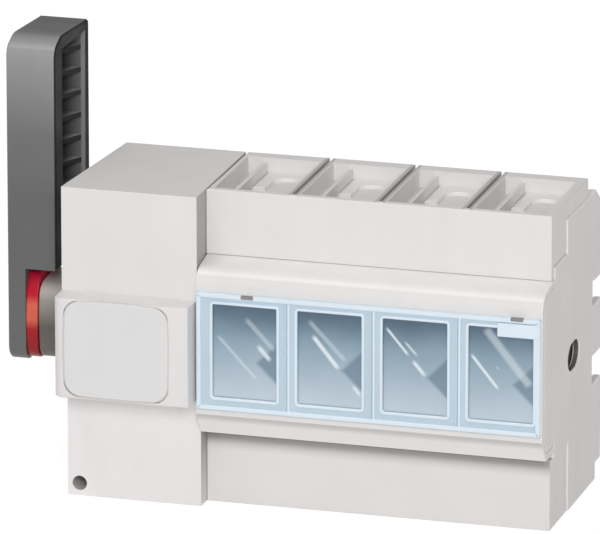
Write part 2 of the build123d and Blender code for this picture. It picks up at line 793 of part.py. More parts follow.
def lever_outline(x):
    """Side view of the lever: a rounded foot round the shaft, a block above it with a sloping top."""
    with BuildSketch(side(x)) as outline:
        face_of([
            (lever_front_y, lever_foot_z),
            (lever_front_y, lever_nose_z),
            (lever_front_y + lever_nose_run, lever_top),
            (lever_rear, lever_rear_top),
            (lever_rear, axis_height + lever_blend_top),
            (lever_front, axis_height + lever_blend_bottom),
            (lever_front, lever_foot_z),
        ])
        round_corner(outline, lever_front_y + lever_nose_run, lever_top, lever_top_round)
        round_corner(outline, lever_front_y, lever_nose_z, lever_nose_round)
        round_corner(outline, lever_rear, lever_rear_top, lever_rear_round)
        round_corner(outline, lever_front_y, lever_foot_z, lever_foot_round)
        round_corner(outline, lever_front, lever_foot_z, lever_foot_round)
    return outline.sketch


with BuildPart() as lever_handle:
    extrude(lever_outline(lever_outer_x), amount=lever_width)
    outer_rim = lever_handle.faces().sort_by(Axis.X)[0].edges()
    chamfer(outer_rim, length=edge_round)
    block(lever_step_x, lever_inner_x, lever_front_y, lever_rear, 0, lever_grip_bottom, Mode.SUBTRACT)
    grip_rim = lever_handle.faces().sort_by(Axis.X)[-1].edges()
    chamfer(grip_rim, length=edge_round)
    block(lever_floor_x, lever_inner_x, hollow_front_y, hollow_rear_y,
          hollow_bottom, hollow_top, Mode.SUBTRACT)
    for k in range(rib_count):
        with BuildSketch(Plane.XY.offset(rib_top - k * rib_pitch)):
            face_of([
                (lever_floor_x, hollow_front_y),
                (lever_inner_x - rib_recess, hollow_rear_y),
                (lever_floor_x, hollow_rear_y),
            ])
        extrude(amount=-rib_thickness)
    with BuildSketch(side(lever_step_x)):
        with Locations((0, axis_height)):
            Rectangle(tenon_square + 2 * shaft_play, tenon_square + 2 * shaft_play)
    extrude(amount=-tenon_length - shaft_play, mode=Mode.SUBTRACT)
    with BuildSketch(side(lever_outer_x)):
        with Locations((0, axis_height)):
            Circle(lever_screw_head_radius + fit_gap)
    extrude(amount=lever_screw_head_height, mode=Mode.SUBTRACT)
    with BuildSketch(side(lever_outer_x)):
        with Locations((0, axis_height)):
            Circle(lever_screw_shank_radius + fit_gap)
    extrude(amount=lever_layer, mode=Mode.SUBTRACT)

lever_handle.part.label = "lever_handle"
export_step(lever_handle.part, "parts/lever_handle.step")

# Red collar behind the lever, and the bushing that carries the shaft out from the housing
collar_right_x = lever_step_x + collar_thickness
boss_face_x = left_x + side_boss_inset
bushing_left_x = collar_right_x + fit_gap


def collar_outline(x, half):
    """Bowed square about the shaft axis, facing right."""
    plane = Plane(origin=(x, 0, axis_height), x_dir=(0, 1, 0), z_dir=(1, 0, 0))
    return bowed_outline(plane, half, half, collar_bulge, collar_corner)


with BuildPart() as indicator_disc:
    extrude(collar_outline(lever_step_x, collar_half), amount=collar_thickness)
    with BuildSketch(side(lever_step_x)):
        with Locations((0, axis_height)):
            Circle(journal_radius + running_clearance)
    extrude(amount=collar_thickness, mode=Mode.SUBTRACT)

indicator_disc.part.label = "indicator_disc"
export_step(indicator_disc.part, "parts/indicator_disc.step")

with BuildPart() as side_bushing:
    extrude(collar_outline(bushing_left_x, bushing_half), amount=boss_face_x - bushing_left_x)
    with BuildSketch(side(bushing_left_x)):
        with Locations((0, axis_height)):
            Circle(journal_radius + running_clearance)
    extrude(amount=boss_face_x - bushing_left_x, mode=Mode.SUBTRACT)

side_bushing.part.label = "side_bushing"
export_step(side_bushing.part, "parts/side_bushing.step")

# Shaft: square tenon in the lever, round journal, then a square along all the poles
shaft_left_x = lever_step_x - tenon_length
shaft_right_x = right_x - shaft_end_inset
screw_under_head_x = lever_outer_x + lever_screw_head_height
screw_tip_x = screw_under_head_x + lever_screw_shank_length
with BuildPart() as drive_shaft:
    with BuildSketch(side(shaft_left_x)):
        with Locations((0, axis_height)):
            Rectangle(tenon_square, tenon_square)
    extrude(amount=tenon_length)
    with BuildSketch(side(lever_step_x)):
        with Locations((0, axis_height)):
            Circle(journal_radius)
    extrude(amount=journal_end_x - lever_step_x)
    with BuildSketch(side(journal_end_x)):
        with Locations((0, axis_height)):
            Rectangle(shaft_square, shaft_square)
    extrude(amount=shaft_right_x - journal_end_x)
    with BuildSketch(side(shaft_left_x)):
        with Locations((0, axis_height)):
            Circle(lever_screw_shank_radius)
    extrude(amount=screw_tip_x + fit_gap - shaft_left_x, mode=Mode.SUBTRACT)
    with BuildSketch(side(shaft_right_x)):
        with Locations((0, axis_height)):
            Circle(shaft_socket_radius)
    extrude(amount=-shaft_socket_depth, mode=Mode.SUBTRACT)

drive_shaft.part.label = "drive_shaft"
export_step(drive_shaft.part, "parts/drive_shaft.step")

with BuildPart() as lever_screw:
    with BuildSketch(side(lever_outer_x)):
        with Locations((0, axis_height)):
            Circle(lever_screw_head_radius)
    extrude(amount=lever_screw_head_height)
    with BuildSketch(side(lever_outer_x)):
        with Locations((0, axis_height)):
            RegularPolygon(lever_screw_socket_radius, 6)
    extrude(amount=lever_screw_socket_depth, mode=Mode.SUBTRACT)
    with BuildSketch(side(screw_under_head_x)):
        with Locations((0, axis_height)):
            Circle(lever_screw_shank_radius - running_clearance)
    extrude(amount=lever_screw_shank_length)

lever_screw.part.label = "lever_screw"
export_step(lever_screw.part, "parts/lever_screw.step")

# Crank on the shaft; its pin runs in the open end of the toggle fork
crank_pin_y = -crank_throw * sin(radians(crank_angle))
crank_pin_z = axis_height + crank_throw * cos(radians(crank_angle))
crank_left_x = crank_x - crank_thickness / 2
with BuildPart() as crank:
    with BuildSketch(side(crank_left_x)):
        with Locations((0, axis_height)):
            Circle(crank_hub_radius)
        with Locations((crank_pin_y, crank_pin_z)):
            Circle(crank_end_radius)
        make_hull()
        with Locations((0, axis_height)):
            Rectangle(shaft_square + 2 * shaft_play, shaft_square + 2 * shaft_play, mode=Mode.SUBTRACT)
    extrude(amount=crank_thickness)
    with BuildSketch(side(crank_left_x)):
        with Locations((crank_pin_y, crank_pin_z)):
            Circle(crank_pin_radius)
    extrude(amount=-(fork_side_gap + fork_thickness + crank_pin_overrun))

crank.part.label = "crank"
export_step(crank.part, "parts/crank.step")

# Toggle: a fixed pin, a fork that swings on it and a spring round the stem of the fork
with BuildPart() as toggle_pin:
    with BuildSketch(side(mech_right_x - wall - fit_gap)):
        with Locations((toggle_y, axis_height)):
            Circle(toggle_pin_radius - running_clearance)
    extrude(amount=-(mech_right_x - wall - fit_gap - fork_x + toggle_pin_overrun))

toggle_pin.part.label = "toggle_pin"
export_step(toggle_pin.part, "parts/toggle_pin.step")

fork_angle = atan2(crank_pin_z - axis_height, crank_pin_y - toggle_y)
fork_direction = Vector(0, cos(fork_angle), sin(fork_angle))
fork_plane = Plane(origin=(fork_x, toggle_y, axis_height), x_dir=fork_direction, z_dir=(1, 0, 0))
fork_slot_width = 2 * (crank_pin_radius + fork_slot_play)
fork_slot_start = toggle_reach - crank_throw - crank_pin_radius - fork_slot_end
fork_shoulder = fork_slot_start - fork_bridge
fork_prong_reach = hypot(crank_pin_y - toggle_y, crank_pin_z - axis_height) + fork_tip
with BuildPart() as toggle_fork:
    with BuildSketch(fork_plane):
        Circle(fork_eye_radius)
        with Locations((fork_slot_start / 2, 0)):
            Rectangle(fork_slot_start, fork_stem_width)
        with Locations(((fork_shoulder + fork_prong_reach) / 2, 0)):
            Rectangle(fork_prong_reach - fork_shoulder, fork_slot_width + 2 * fork_prong_width)
        with Locations(((fork_slot_start + fork_prong_reach) / 2, 0)):
            Rectangle(fork_prong_reach - fork_slot_start, fork_slot_width, mode=Mode.SUBTRACT)
        Circle(toggle_pin_radius, mode=Mode.SUBTRACT)
    extrude(amount=fork_thickness)

toggle_fork.part.label = "toggle_fork"
export_step(toggle_fork.part, "parts/toggle_fork.step")

spring_start = fork_eye_radius + spring_wire
spring_length = fork_shoulder - spring_wire - spring_start
spring_centre = Vector(fork_x + fork_thickness / 2, toggle_y, axis_height) + fork_direction * spring_start
with BuildPart() as toggle_spring:
    with BuildLine() as spring_path:
        Helix(spring_pitch, spring_length, spring_radius, center=spring_centre, direction=fork_direction)
    with BuildSketch(Plane(origin=spring_path.line @ 0, z_dir=spring_path.line % 0)):
        RegularPolygon(spring_wire / 2, 4)
    sweep(is_frenet=True)

toggle_spring.part.label = "toggle_spring"
export_step(toggle_spring.part, "parts/toggle_spring.step")

# Contact sets, one in each pole: rotor and blade turn with the shaft, the rest stays put
jaw_inner = blade_thickness / 2 + jaw_gap
jaw_outer = jaw_inner + jaw_thickness
clamp_left_half = clamp_width / 2
clamp_rear_y = stem_front + stem_thickness + fit_gap + clamp_wall
clamp_middle = (clamp_bottom + clamp_top) / 2
chute_top = chamber_top - chute_play
chute_length = chute_pitch * (chute_plates - 1) + chute_plate_thickness
for i, x in enumerate(pole_centres):
    pole = i + 1
    journal_left_x = x - pole_pitch / 2 + fit_gap / 2
    journal_right_x = x + pole_pitch / 2 - fit_gap / 2
    if pole == 1:
        journal_left_x = mech_right_x - wall
    if pole == pole_count:
        journal_right_x = frame_right_x - fit_gap

    with BuildPart() as rotor:
        with BuildSketch(side(journal_left_x)):
            with Locations((0, axis_height)):
                Circle(rotor_journal_radius)
        extrude(amount=journal_right_x - journal_left_x)
        with BuildSketch(side(x - rotor_half_length)):
            with Locations((0, axis_height)):
                Circle(rotor_radius)
        extrude(amount=2 * rotor_half_length)
        with BuildSketch(side(journal_left_x)):
            with Locations((0, axis_height)):
                Rectangle(shaft_square + 2 * shaft_play, shaft_square + 2 * shaft_play)
        extrude(amount=journal_right_x - journal_left_x, mode=Mode.SUBTRACT)
        with BuildSketch(side(x - blade_thickness / 2 - blade_slot_play)):
            with Locations((0, axis_height)):
                Rectangle(blade_width + 2 * blade_slot_play, 2 * blade_radius)
        extrude(amount=blade_thickness + 2 * blade_slot_play, mode=Mode.SUBTRACT)
    rotor.part.label = f"rotor_{pole}"
    export_step(rotor.part, f"parts/rotor_{pole}.step")

    with BuildPart() as moving_blade:
        with BuildSketch(side(x - blade_thickness / 2)):
            with Locations((0, axis_height)):
                Rectangle(blade_width, 2 * blade_radius)
                Circle(blade_radius, mode=Mode.INTERSECT)
                Rectangle(shaft_square + 2 * shaft_play, shaft_square + 2 * shaft_play, mode=Mode.SUBTRACT)
        extrude(amount=blade_thickness)
    moving_blade.part.label = f"moving_blade_{pole}"
    export_step(moving_blade.part, f"parts/moving_blade_{pole}.step")

    with BuildPart() as upper_contact:
        block(x - jaw_outer, x + jaw_outer, -jaw_width / 2, jaw_width / 2, jaw_bottom, jaw_top)
        block(x - jaw_inner, x + jaw_inner, -jaw_width / 2, jaw_width / 2, jaw_bottom,
              jaw_bridge_bottom, Mode.SUBTRACT)
        block(x - stem_width / 2, x + stem_width / 2, stem_front, stem_front + stem_thickness,
              jaw_bridge_bottom, stem_top)
    upper_contact.part.label = f"upper_contact_{pole}"
    export_step(upper_contact.part, f"parts/upper_contact_{pole}.step")

    with BuildPart() as lower_contact:
        mirror(upper_contact.part, about=mirror_plane)
    lower_contact.part.label = f"lower_contact_{pole}"
    export_step(lower_contact.part, f"parts/lower_contact_{pole}.step")

    with BuildPart() as upper_clamp:
        block(x - clamp_left_half, x + clamp_left_half, -clamp_front, clamp_rear_y, clamp_bottom, clamp_top)
        block(x - clamp_left_half + clamp_wall, x + clamp_left_half - clamp_wall, clamp_wall - clamp_front,
              clamp_rear_y - clamp_wall, clamp_bottom, clamp_top, Mode.SUBTRACT)
        with BuildSketch(front(-clamp_front)):
            with Locations((x, clamp_middle)):
                Circle(clamp_screw_radius + running_clearance)
        extrude(amount=-clamp_wall, mode=Mode.SUBTRACT)
    upper_clamp.part.label = f"upper_clamp_{pole}"
    export_step(upper_clamp.part, f"parts/upper_clamp_{pole}.step")

    with BuildPart() as lower_clamp:
        mirror(upper_clamp.part, about=mirror_plane)
    lower_clamp.part.label = f"lower_clamp_{pole}"
    export_step(lower_clamp.part, f"parts/lower_clamp_{pole}.step")

    with BuildPart() as arc_chute:
        for k in range(chute_plates):
            plate_y = k * chute_pitch - chute_front
            block(x - chute_half_width, x + chute_half_width, plate_y, plate_y + chute_plate_thickness,
                  chute_bottom, chute_top)
        for board_x in (x - chute_half_width, x + chute_half_width - chute_board):
            block(board_x, board_x + chute_board, -chute_front, chute_length - chute_front,
                  chute_bottom, chute_top)
    arc_chute.part.label = f"arc_chute_{pole}"
    export_step(arc_chute.part, f"parts/arc_chute_{pole}.step")

# Terminal screws, one in each clamp, reached from the front once a shroud is off
with BuildPart() as terminal_screws:
    for z in (clamp_middle, 2 * axis_height - clamp_middle):
        with BuildSketch(front(-clamp_front)):
            with Locations([(x, z) for x in pole_centres]):
                Circle(clamp_screw_head_radius)
        extrude(amount=clamp_screw_head_height)
        with BuildSketch(front(-clamp_front - clamp_screw_head_height)):
            with Locations([(x, z) for x in pole_centres]):
                Rectangle(clamp_screw_slot_length, clamp_screw_slot_width)
        extrude(amount=-clamp_screw_slot_depth, mode=Mode.SUBTRACT)
        with BuildSketch(front(-clamp_front)):
            with Locations([(x, z) for x in pole_centres]):
                Circle(clamp_screw_radius)
        extrude(amount=-clamp_wall - clamp_screw_reach)

terminal_screws.part.label = "terminal_screws"
export_step(terminal_screws.part, "parts/terminal_screws.step")
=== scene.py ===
import math

import bmesh
import bpy
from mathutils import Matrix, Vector


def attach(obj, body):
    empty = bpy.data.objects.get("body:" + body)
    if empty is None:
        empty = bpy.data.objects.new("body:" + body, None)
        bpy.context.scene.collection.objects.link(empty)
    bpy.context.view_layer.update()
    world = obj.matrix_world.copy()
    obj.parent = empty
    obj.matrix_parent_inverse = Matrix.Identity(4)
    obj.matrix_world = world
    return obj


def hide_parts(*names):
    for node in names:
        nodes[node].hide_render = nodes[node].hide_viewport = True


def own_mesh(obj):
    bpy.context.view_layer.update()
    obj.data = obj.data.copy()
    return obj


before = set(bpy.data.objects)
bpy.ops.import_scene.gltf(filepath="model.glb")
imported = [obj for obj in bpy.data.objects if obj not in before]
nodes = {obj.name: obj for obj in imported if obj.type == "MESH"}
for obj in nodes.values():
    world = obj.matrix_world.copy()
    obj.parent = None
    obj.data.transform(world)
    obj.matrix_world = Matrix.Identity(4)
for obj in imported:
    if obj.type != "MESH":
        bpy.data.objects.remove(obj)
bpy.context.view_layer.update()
scene = bpy.context.scene
MM = 0.001


# ---------- camera ----------

AZIMUTH = math.radians(16.147)
ELEVATION = math.radians(16.578)
DISTANCE = 2.8274
TARGET = Vector((-0.00343, -0.027, 0.07992))
LENS = 540.0
SENSOR_WIDTH = 36.0
FAR_CLIP = 50.0

toward_camera = Vector((
    math.sin(AZIMUTH) * math.cos(ELEVATION),
    -math.cos(AZIMUTH) * math.cos(ELEVATION),
    math.sin(ELEVATION),
))
camera_data = bpy.data.cameras.new("camera")
camera_data.lens = LENS
camera_data.sensor_width = SENSOR_WIDTH
camera_data.clip_end = FAR_CLIP
camera = bpy.data.objects.new("camera", camera_data)
camera.location = TARGET + toward_camera * DISTANCE
camera.rotation_euler = (-toward_camera).to_track_quat("-Z", "Y").to_euler()
scene.collection.objects.link(camera)
scene.camera = camera
scene.view_settings.view_transform = "Standard"


# ---------- node helpers ----------

# The part of its range that a noise mostly keeps to
NOISE_LOW, NOISE_HIGH = 0.3, 0.7
# Sockets of a node that mixes colours
MIX_FACTOR, MIX_A, MIX_B, MIX_RESULT = 0, 6, 7, 2


def linear(hex_colour):
    """Linear RGBA of an sRGB hex colour."""
    values = []
    for i in (0, 2, 4):
        c = int(hex_colour[i:i + 2], 16) / 255
        values.append(c / 12.92 if c <= 0.04045 else ((c + 0.055) / 1.055) ** 2.4)
    return (*values, 1.0)


class Nodes:
    """A material's node tree with short calls for the nodes used here."""

    def __init__(self, name):
        self.material = bpy.data.materials.new(name)
        self.material.use_nodes = True
        self.tree = self.material.node_tree
        self.tree.nodes.clear()
        self.output = self.tree.nodes.new("ShaderNodeOutputMaterial")
        self.coordinates = self.tree.nodes.new("ShaderNodeTexCoord")

    def new(self, kind, **settings):
        node = self.tree.nodes.new(kind)
        for key, value in settings.items():
            setattr(node, key, value)
        return node

    def link(self, a, b):
        self.tree.links.new(a, b)

    def feed(self, socket, value):
        """Links a socket to the value, or sets it where the value is a constant."""
        if hasattr(value, "links"):
            self.link(value, socket)
        else:
            socket.default_value = value

    def noise(self, scale, detail=3.0, roughness=0.5, stretch=(1, 1, 1)):
        mapping = self.new("ShaderNodeMapping")
        mapping.inputs["Scale"].default_value = stretch
        self.link(self.coordinates.outputs["Object"], mapping.inputs["Vector"])
        noise = self.new("ShaderNodeTexNoise")
        noise.inputs["Scale"].default_value = scale
        noise.inputs["Detail"].default_value = detail
        noise.inputs["Roughness"].default_value = roughness
        self.link(mapping.outputs["Vector"], noise.inputs["Vector"])
        return noise.outputs["Fac"]

    def ramp(self, value, stops):
        ramp = self.new("ShaderNodeValToRGB")
        elements = ramp.color_ramp.elements
        while len(elements) < len(stops):
            elements.new(0.5)
        for element, (position, colour) in zip(elements, stops):
            element.position = position
            element.color = colour
        self.link(value, ramp.inputs["Fac"])
        return ramp.outputs["Color"]

    def span(self, value, low, high, to_low=0.0, to_high=1.0):
        """The value mapped from one range to another, clamped."""
        node = self.new("ShaderNodeMapRange")
        node.inputs["From Min"].default_value = low
        node.inputs["From Max"].default_value = high
        node.inputs["To Min"].default_value = to_low
        node.inputs["To Max"].default_value = to_high
        self.link(value, node.inputs["Value"])
        return node.outputs["Result"]

    def spread(self, noise, low=0.0, high=1.0):
        """A noise mapped to a range of its own."""
        return self.span(noise, NOISE_LOW, NOISE_HIGH, low, high)

    def axis(self, name):
        """One object coordinate, in metres."""
        split = self.new("ShaderNodeSeparateXYZ")
        self.link(self.coordinates.outputs["Object"], split.inputs["Vector"])
        return split.outputs[name]

    def maths(self, operation, a, b=None):
        """One operation on one or two values, each a socket or a number."""
        node = self.new("ShaderNodeMath", operation=operation)
        self.feed(node.inputs[0], a)
        if b is not None:
            self.feed(node.inputs[1], b)
        return node.outputs[0]

    def mix(self, factor, a, b):
        node = self.new("ShaderNodeMix", data_type="RGBA")
        for key, value in ((MIX_FACTOR, factor), (MIX_A, a), (MIX_B, b)):
            self.feed(node.inputs[key], value)
        return node.outputs[MIX_RESULT]

    def bump(self, height, strength, distance):
        node = self.new("ShaderNodeBump")
        node.inputs["Strength"].default_value = strength
        node.inputs["Distance"].default_value = distance
        self.link(height, node.inputs["Height"])
        return node.outputs["Normal"]

    def principled(self, **values):
        """The material's surface, from sockets and constants."""
        names = {
            "colour": "Base Color", "roughness": "Roughness", "metallic": "Metallic",
            "specular": "Specular IOR Level", "coat": "Coat Weight", "coat_roughness": "Coat Roughness",
            "normal": "Normal",
        }
        node = self.new("ShaderNodeBsdfPrincipled")
        for key, value in values.items():
            self.feed(node.inputs[names[key]], value)
        self.link(node.outputs["BSDF"], self.output.inputs["Surface"])


# ---------- surfaces ----------

# How far moulded plastic is lighter and darker than its colour
TONE = 0.025


def moulded(name, hex_colour, grain=2600.0, depth=0.00003, roughness=(0.51, 0.57), specular=0.4):
    """Moulded plastic: fine spark grain, faint flow marks and slightly uneven gloss."""
    n = Nodes(name)
    base = linear(hex_colour)
    dark = tuple(c * (1 - TONE) for c in base[:3]) + (1.0,)
    light = tuple(min(1.0, c * (1 + TONE)) for c in base[:3]) + (1.0,)
    cloud = n.noise(38.0, 4.0, 0.55)
    flow = n.noise(120.0, 2.0, 0.5, (1, 1, 0.15))
    colour = n.mix(n.spread(flow), n.ramp(cloud, [(NOISE_LOW, dark), (NOISE_HIGH, base)]),
                   n.ramp(cloud, [(NOISE_LOW, base), (NOISE_HIGH, light)]))
    n.principled(colour=colour, roughness=n.spread(n.noise(60.0, 3.0), *roughness), specular=specular,
                 normal=n.bump(n.noise(grain, 2.0, 0.6), 0.35, depth))
    return n.material


def metal(name, hex_colour, roughness=(0.28, 0.42)):
    """Plated or rolled metal with a fine uneven gloss."""
    n = Nodes(name)
    base = linear(hex_colour)
    dark = tuple(c * 0.82 for c in base[:3]) + (1.0,)
    fine = n.noise(900.0, 4.0, 0.6)
    colour = n.ramp(n.noise(150.0, 3.0), [(NOISE_LOW, dark), (NOISE_HIGH, base)])
    n.principled(colour=colour, metallic=1.0, roughness=n.spread(fine, *roughness),
                 normal=n.bump(fine, 0.25, 0.00003))
    return n.material


def along(n, direction, tones):
    """A colour that runs along an axis: the tones are (place in metres, hex colour) pairs."""
    low, high = tones[0][0], tones[-1][0]
    stops = [((place - low) / (high - low), linear(colour)) for place, colour in tones]
    return n.ramp(n.span(n.axis(direction), low, high), stops)


def lever_surface(name, direction, tones, specular=0.4, roughness=(0.42, 0.55)):
    """Dark satin plastic whose tone runs along an axis, as painted highlight and painted shade."""
    n = Nodes(name)
    colour = along(n, direction, tones)
    colour = n.mix(n.spread(n.noise(55.0, 4.0, 0.55), 0.0, 0.10), colour, linear("1C1C1C"))
    n.principled(colour=colour, roughness=n.spread(n.noise(80.0, 3.0), *roughness), specular=specular,
                 normal=n.bump(n.noise(1900.0, 2.0, 0.6), 0.4, 0.00004))
    return n.material


def rim_surface():
    """The rim of the lever's hollow, in painted shade: dark in front, a lighter band of painted highlight and a dark
    edge at the rear.
    """
    n = Nodes("lever_rim_look")
    colour = n.ramp(n.span(n.axis("Y"), -0.015, 0.025), [
        (0.0, linear("303030")), (0.20, linear("2E2E2E")), (0.50, linear("363636")), (0.80, linear("363636")),
        (0.86, linear("202020")),
    ])
    n.principled(colour=colour, roughness=n.spread(n.noise(80.0, 3.0), 0.55, 0.68), specular=0.08,
                 normal=n.bump(n.noise(1900.0, 2.0, 0.6), 0.4, 0.00004))
    return n.material


def collar_surface():
    """Satin red with a painted highlight stripe across its middle and painted shade at its bottom."""
    n = Nodes("red_look")
    colour = n.ramp(n.span(n.axis("Z"), 0.0365, 0.0672), [
        (0.0, linear("3E0E16")), (0.08, linear("900C18")), (0.36, linear("A8101C")), (0.46, linear("DE6650")),
        (0.62, linear("E06A52")), (0.72, linear("C8122C")), (1.0, linear("BC123A")),
    ])
    colour = n.mix(n.spread(n.noise(90.0, 3.0, 0.5), 0.0, 0.12), colour, linear("8A0C16"))
    n.principled(colour=colour, roughness=n.spread(n.noise(70.0, 3.0), 0.30, 0.42), specular=0.28,
                 normal=n.bump(n.noise(1500.0, 2.0), 0.2, 0.00002))
    return n.material


def bushing_surface():
    """Warm grey plastic with a faint green cloud, with painted shade darkening it towards the underside and a
    painted highlight on its top.
    """
    n = Nodes("bushing_look")
    colour = n.ramp(n.span(n.axis("Z"), 0.037, 0.0625), [
        (0.0, linear("6E6A68")), (0.45, linear("625C55")), (0.80, linear("A29C96")), (1.0, linear("D4CDC9")),
    ])
    colour = n.mix(n.spread(n.noise(60.0, 4.0, 0.55), 0.0, 0.10), colour, linear("6A736E"))
    n.principled(colour=colour, roughness=n.spread(n.noise(60.0, 3.0), 0.45, 0.58), specular=0.4,
                 normal=n.bump(n.noise(2200.0, 2.0, 0.6), 0.35, 0.00003))
    return n.material


def height_surface(name, tones):
    """Housing plastic whose tone runs with height, for painted shade and painted light."""
    n = Nodes(name)
    colour = along(n, "Z", tones)
    colour = n.mix(n.spread(n.noise(38.0, 4.0, 0.55), 0.0, 0.05), colour, linear("A8A4A3"))
    n.principled(colour=colour, roughness=n.spread(n.noise(60.0, 3.0), 0.48, 0.60), specular=0.4,
                 normal=n.bump(n.noise(2600.0, 2.0, 0.6), 0.35, 0.00003))
    return n.material


# Places in a pane's painted shade and light, in metres: its ends, how far its tone wobbles, and the painted shade
# wedge's height and borders
PANE_TONE_LOW, PANE_TONE_HIGH = 0.0394, 0.0698
PANE_WOBBLE = 0.0012
WEDGE_Z = 0.0515
WEDGE_OUTER, WEDGE_INNER = 0.0074, 0.0056
WEDGE_STRENGTH = 0.70
# A painted reflection streak's soft end, in metres, and its soft sides, as shares of its half width
STREAK_END = 0.0015
STREAK_OUTER, STREAK_INNER = 1.35, 0.5


def pane_surface(name, right, streaks):
    """Tinted clear pane, with painted shade that dims it above, painted light below, painted slanting reflections
    and a painted shade wedge at its right.

    A streak is its two ends in millimetres (x, z, x, z), its half width and its strength.
    """
    n = Nodes(name)
    x = n.axis("X")
    z = n.axis("Z")
    height = n.maths("ADD", z, n.spread(n.noise(60.0, 3.0, 0.5), -PANE_WOBBLE, PANE_WOBBLE))
    colour = n.ramp(n.span(height, PANE_TONE_LOW, PANE_TONE_HIGH), [
        (0.0, linear("C0D0DD")), (0.22, linear("B0C2D0")), (0.45, linear("9AB0C0")), (0.68, linear("7E9AAC")),
        (0.88, linear("506F85")), (1.0, linear("38586F")),
    ])
    # Painted shade wedge at the pane's right
    inward = n.maths("SUBTRACT", right, x)
    offset = n.maths("ABSOLUTE", n.maths("SUBTRACT", z, WEDGE_Z))
    wedge = n.span(n.maths("ADD", inward, offset), WEDGE_OUTER, WEDGE_INNER)
    colour = n.mix(n.maths("MULTIPLY", wedge, WEDGE_STRENGTH), colour, linear("4F7086"))
    # Painted reflection streaks
    for (x0, z0, x1, z1), half_width, strength in streaks:
        length = math.hypot(x1 - x0, z1 - z0)
        along_x, along_z = (x1 - x0) / length, (z1 - z0) / length
        half_length = length / 2000
        dx = n.maths("SUBTRACT", x, (x0 + x1) / 2000)
        dz = n.maths("SUBTRACT", z, (z0 + z1) / 2000)
        lengthwise = n.maths("ADD", n.maths("MULTIPLY", dx, along_x), n.maths("MULTIPLY", dz, along_z))
        across = n.maths("SUBTRACT", n.maths("MULTIPLY", dz, along_x), n.maths("MULTIPLY", dx, along_z))
        inside = n.span(n.maths("ABSOLUTE", lengthwise), half_length, half_length - STREAK_END)
        near = n.span(n.maths("ABSOLUTE", across), half_width * MM * STREAK_OUTER,
                      half_width * MM * STREAK_INNER)
        mask = n.maths("MULTIPLY", n.maths("MULTIPLY", inside, near), strength)
        colour = n.mix(mask, colour, linear("E9F3FA"))
    n.principled(colour=colour, roughness=0.14, specular=0.5, coat=0.35, coat_roughness=0.05,
                 normal=n.bump(n.noise(140.0, 2.0), 0.1, 0.00008))
    return n.material


# ---------- looks ----------

CLEAR = {"grain": 900.0, "depth": 0.00001, "roughness": (0.16, 0.24), "specular": 0.5}

housing_look = moulded("housing_look", "E9E7E6")
# Painted highlight on rounded edges: the bevel strips are painted lighter, and are glossier.
edge_look = moulded("edge_look", "F1EFEE", roughness=(0.36, 0.46))
# Painted shade on the mechanism's right-facing step faces above and below the nose, darkest at mid height.
step_look = height_surface("step_look", [
    (0.0, "E2E0DF"), (0.0103, "CBC8C6"), (0.0309, "9A9796"), (0.0824, "B2AFAE"), (0.103, "BAB7B6"),
])
# Painted light: the mechanism's lower front is painted lighter than the rest of the housing.
lower_front_look = moulded("lower_front_look", "F1EFEF")
# Painted shadow under the chin on the lower shroud's front, darkest just below the chin.
under_chin_look = height_surface("under_chin_look", [
    (0.0, "EBE9E8"), (0.0174, "EBE9E8"), (0.0183, "E4E2E1"), (0.0193, "D8D6D5"), (0.0203, "C4C2C1"),
    (0.0213, "ABA9A8"), (0.0250, "A2A09F"),
])
# Painted light on the chin's downward-facing slope, with painted shade along its crease.
chin_look = height_surface("chin_look", [
    (0.0250, "F6F5F4"), (0.0300, "F4F3F2"), (0.0310, "E2E0DF"), (0.0322, "CCCAC9"), (0.0332, "CCCAC9"),
    (0.0345, "DCDAD9"),
])
# Painted shadow line along the chin's lower edge.
chin_edge_look = moulded("chin_edge_look", "4A4644")
# Painted highlight on the nose's top slope.
nose_top_look = moulded("nose_top_look", "F1F0EE", roughness=(0.30, 0.40))
# Painted shade on the walls of the screw hole.
screw_hole_look = moulded("screw_hole_look", "CDCBC9")
# Painted shade on the walls of the opening in the right side.
hole_look = moulded("hole_look", "6A6159")
# Painted shade in the grooves between the wells.
groove_shade_look = moulded("groove_shade_look", "B9B6B5")
# Painted shade on the wall tops beside the grooves.
wall_top_look = moulded("wall_top_look", "C9C6C5")
# Painted shade on the well floors seen round the cable funnels.
well_floor_look = moulded("well_floor_look", "E4E1E0")
liner_look = moulded("liner_look", "EDECEB")
# Painted shade: the pole frame is coloured dark to stand for the deep shade inside the side opening.
inside_look = moulded("inside_look", "4E4842")
plate_look = moulded("plate_look", "E5E5E5", grain=3000.0, depth=0.00002)
plate_edge_look = moulded("plate_edge_look", "D2D0D0")
plate_seam_look = moulded("plate_seam_look", "DCDAD9")
frame_look = moulded("window_frame_look", "C3D6E3", **CLEAR)
# Painted highlight: the raised rims and bars of the window are painted lighter than the frame.
rim_look = moulded("window_rim_look", "E2F0FA", **CLEAR)
tab_look = moulded("window_tab_look", "E2F0FB", **CLEAR)
# Painted shade: the latch blocks are grey to stand for the shade in the latch slots.
latch_look = moulded("latch_look", "8E8C8A")
steel_look = metal("steel_look", "B9BABC")
copper_look = metal("copper_look", "C07A58", roughness=(0.25, 0.4))
rotor_look = moulded("rotor_look", "3A3A3E")
# Red collar with a painted highlight stripe and painted shade at its bottom
red_look = collar_surface()
# Grey bushing with painted shade below and a painted highlight on top
bushing_look = bushing_surface()
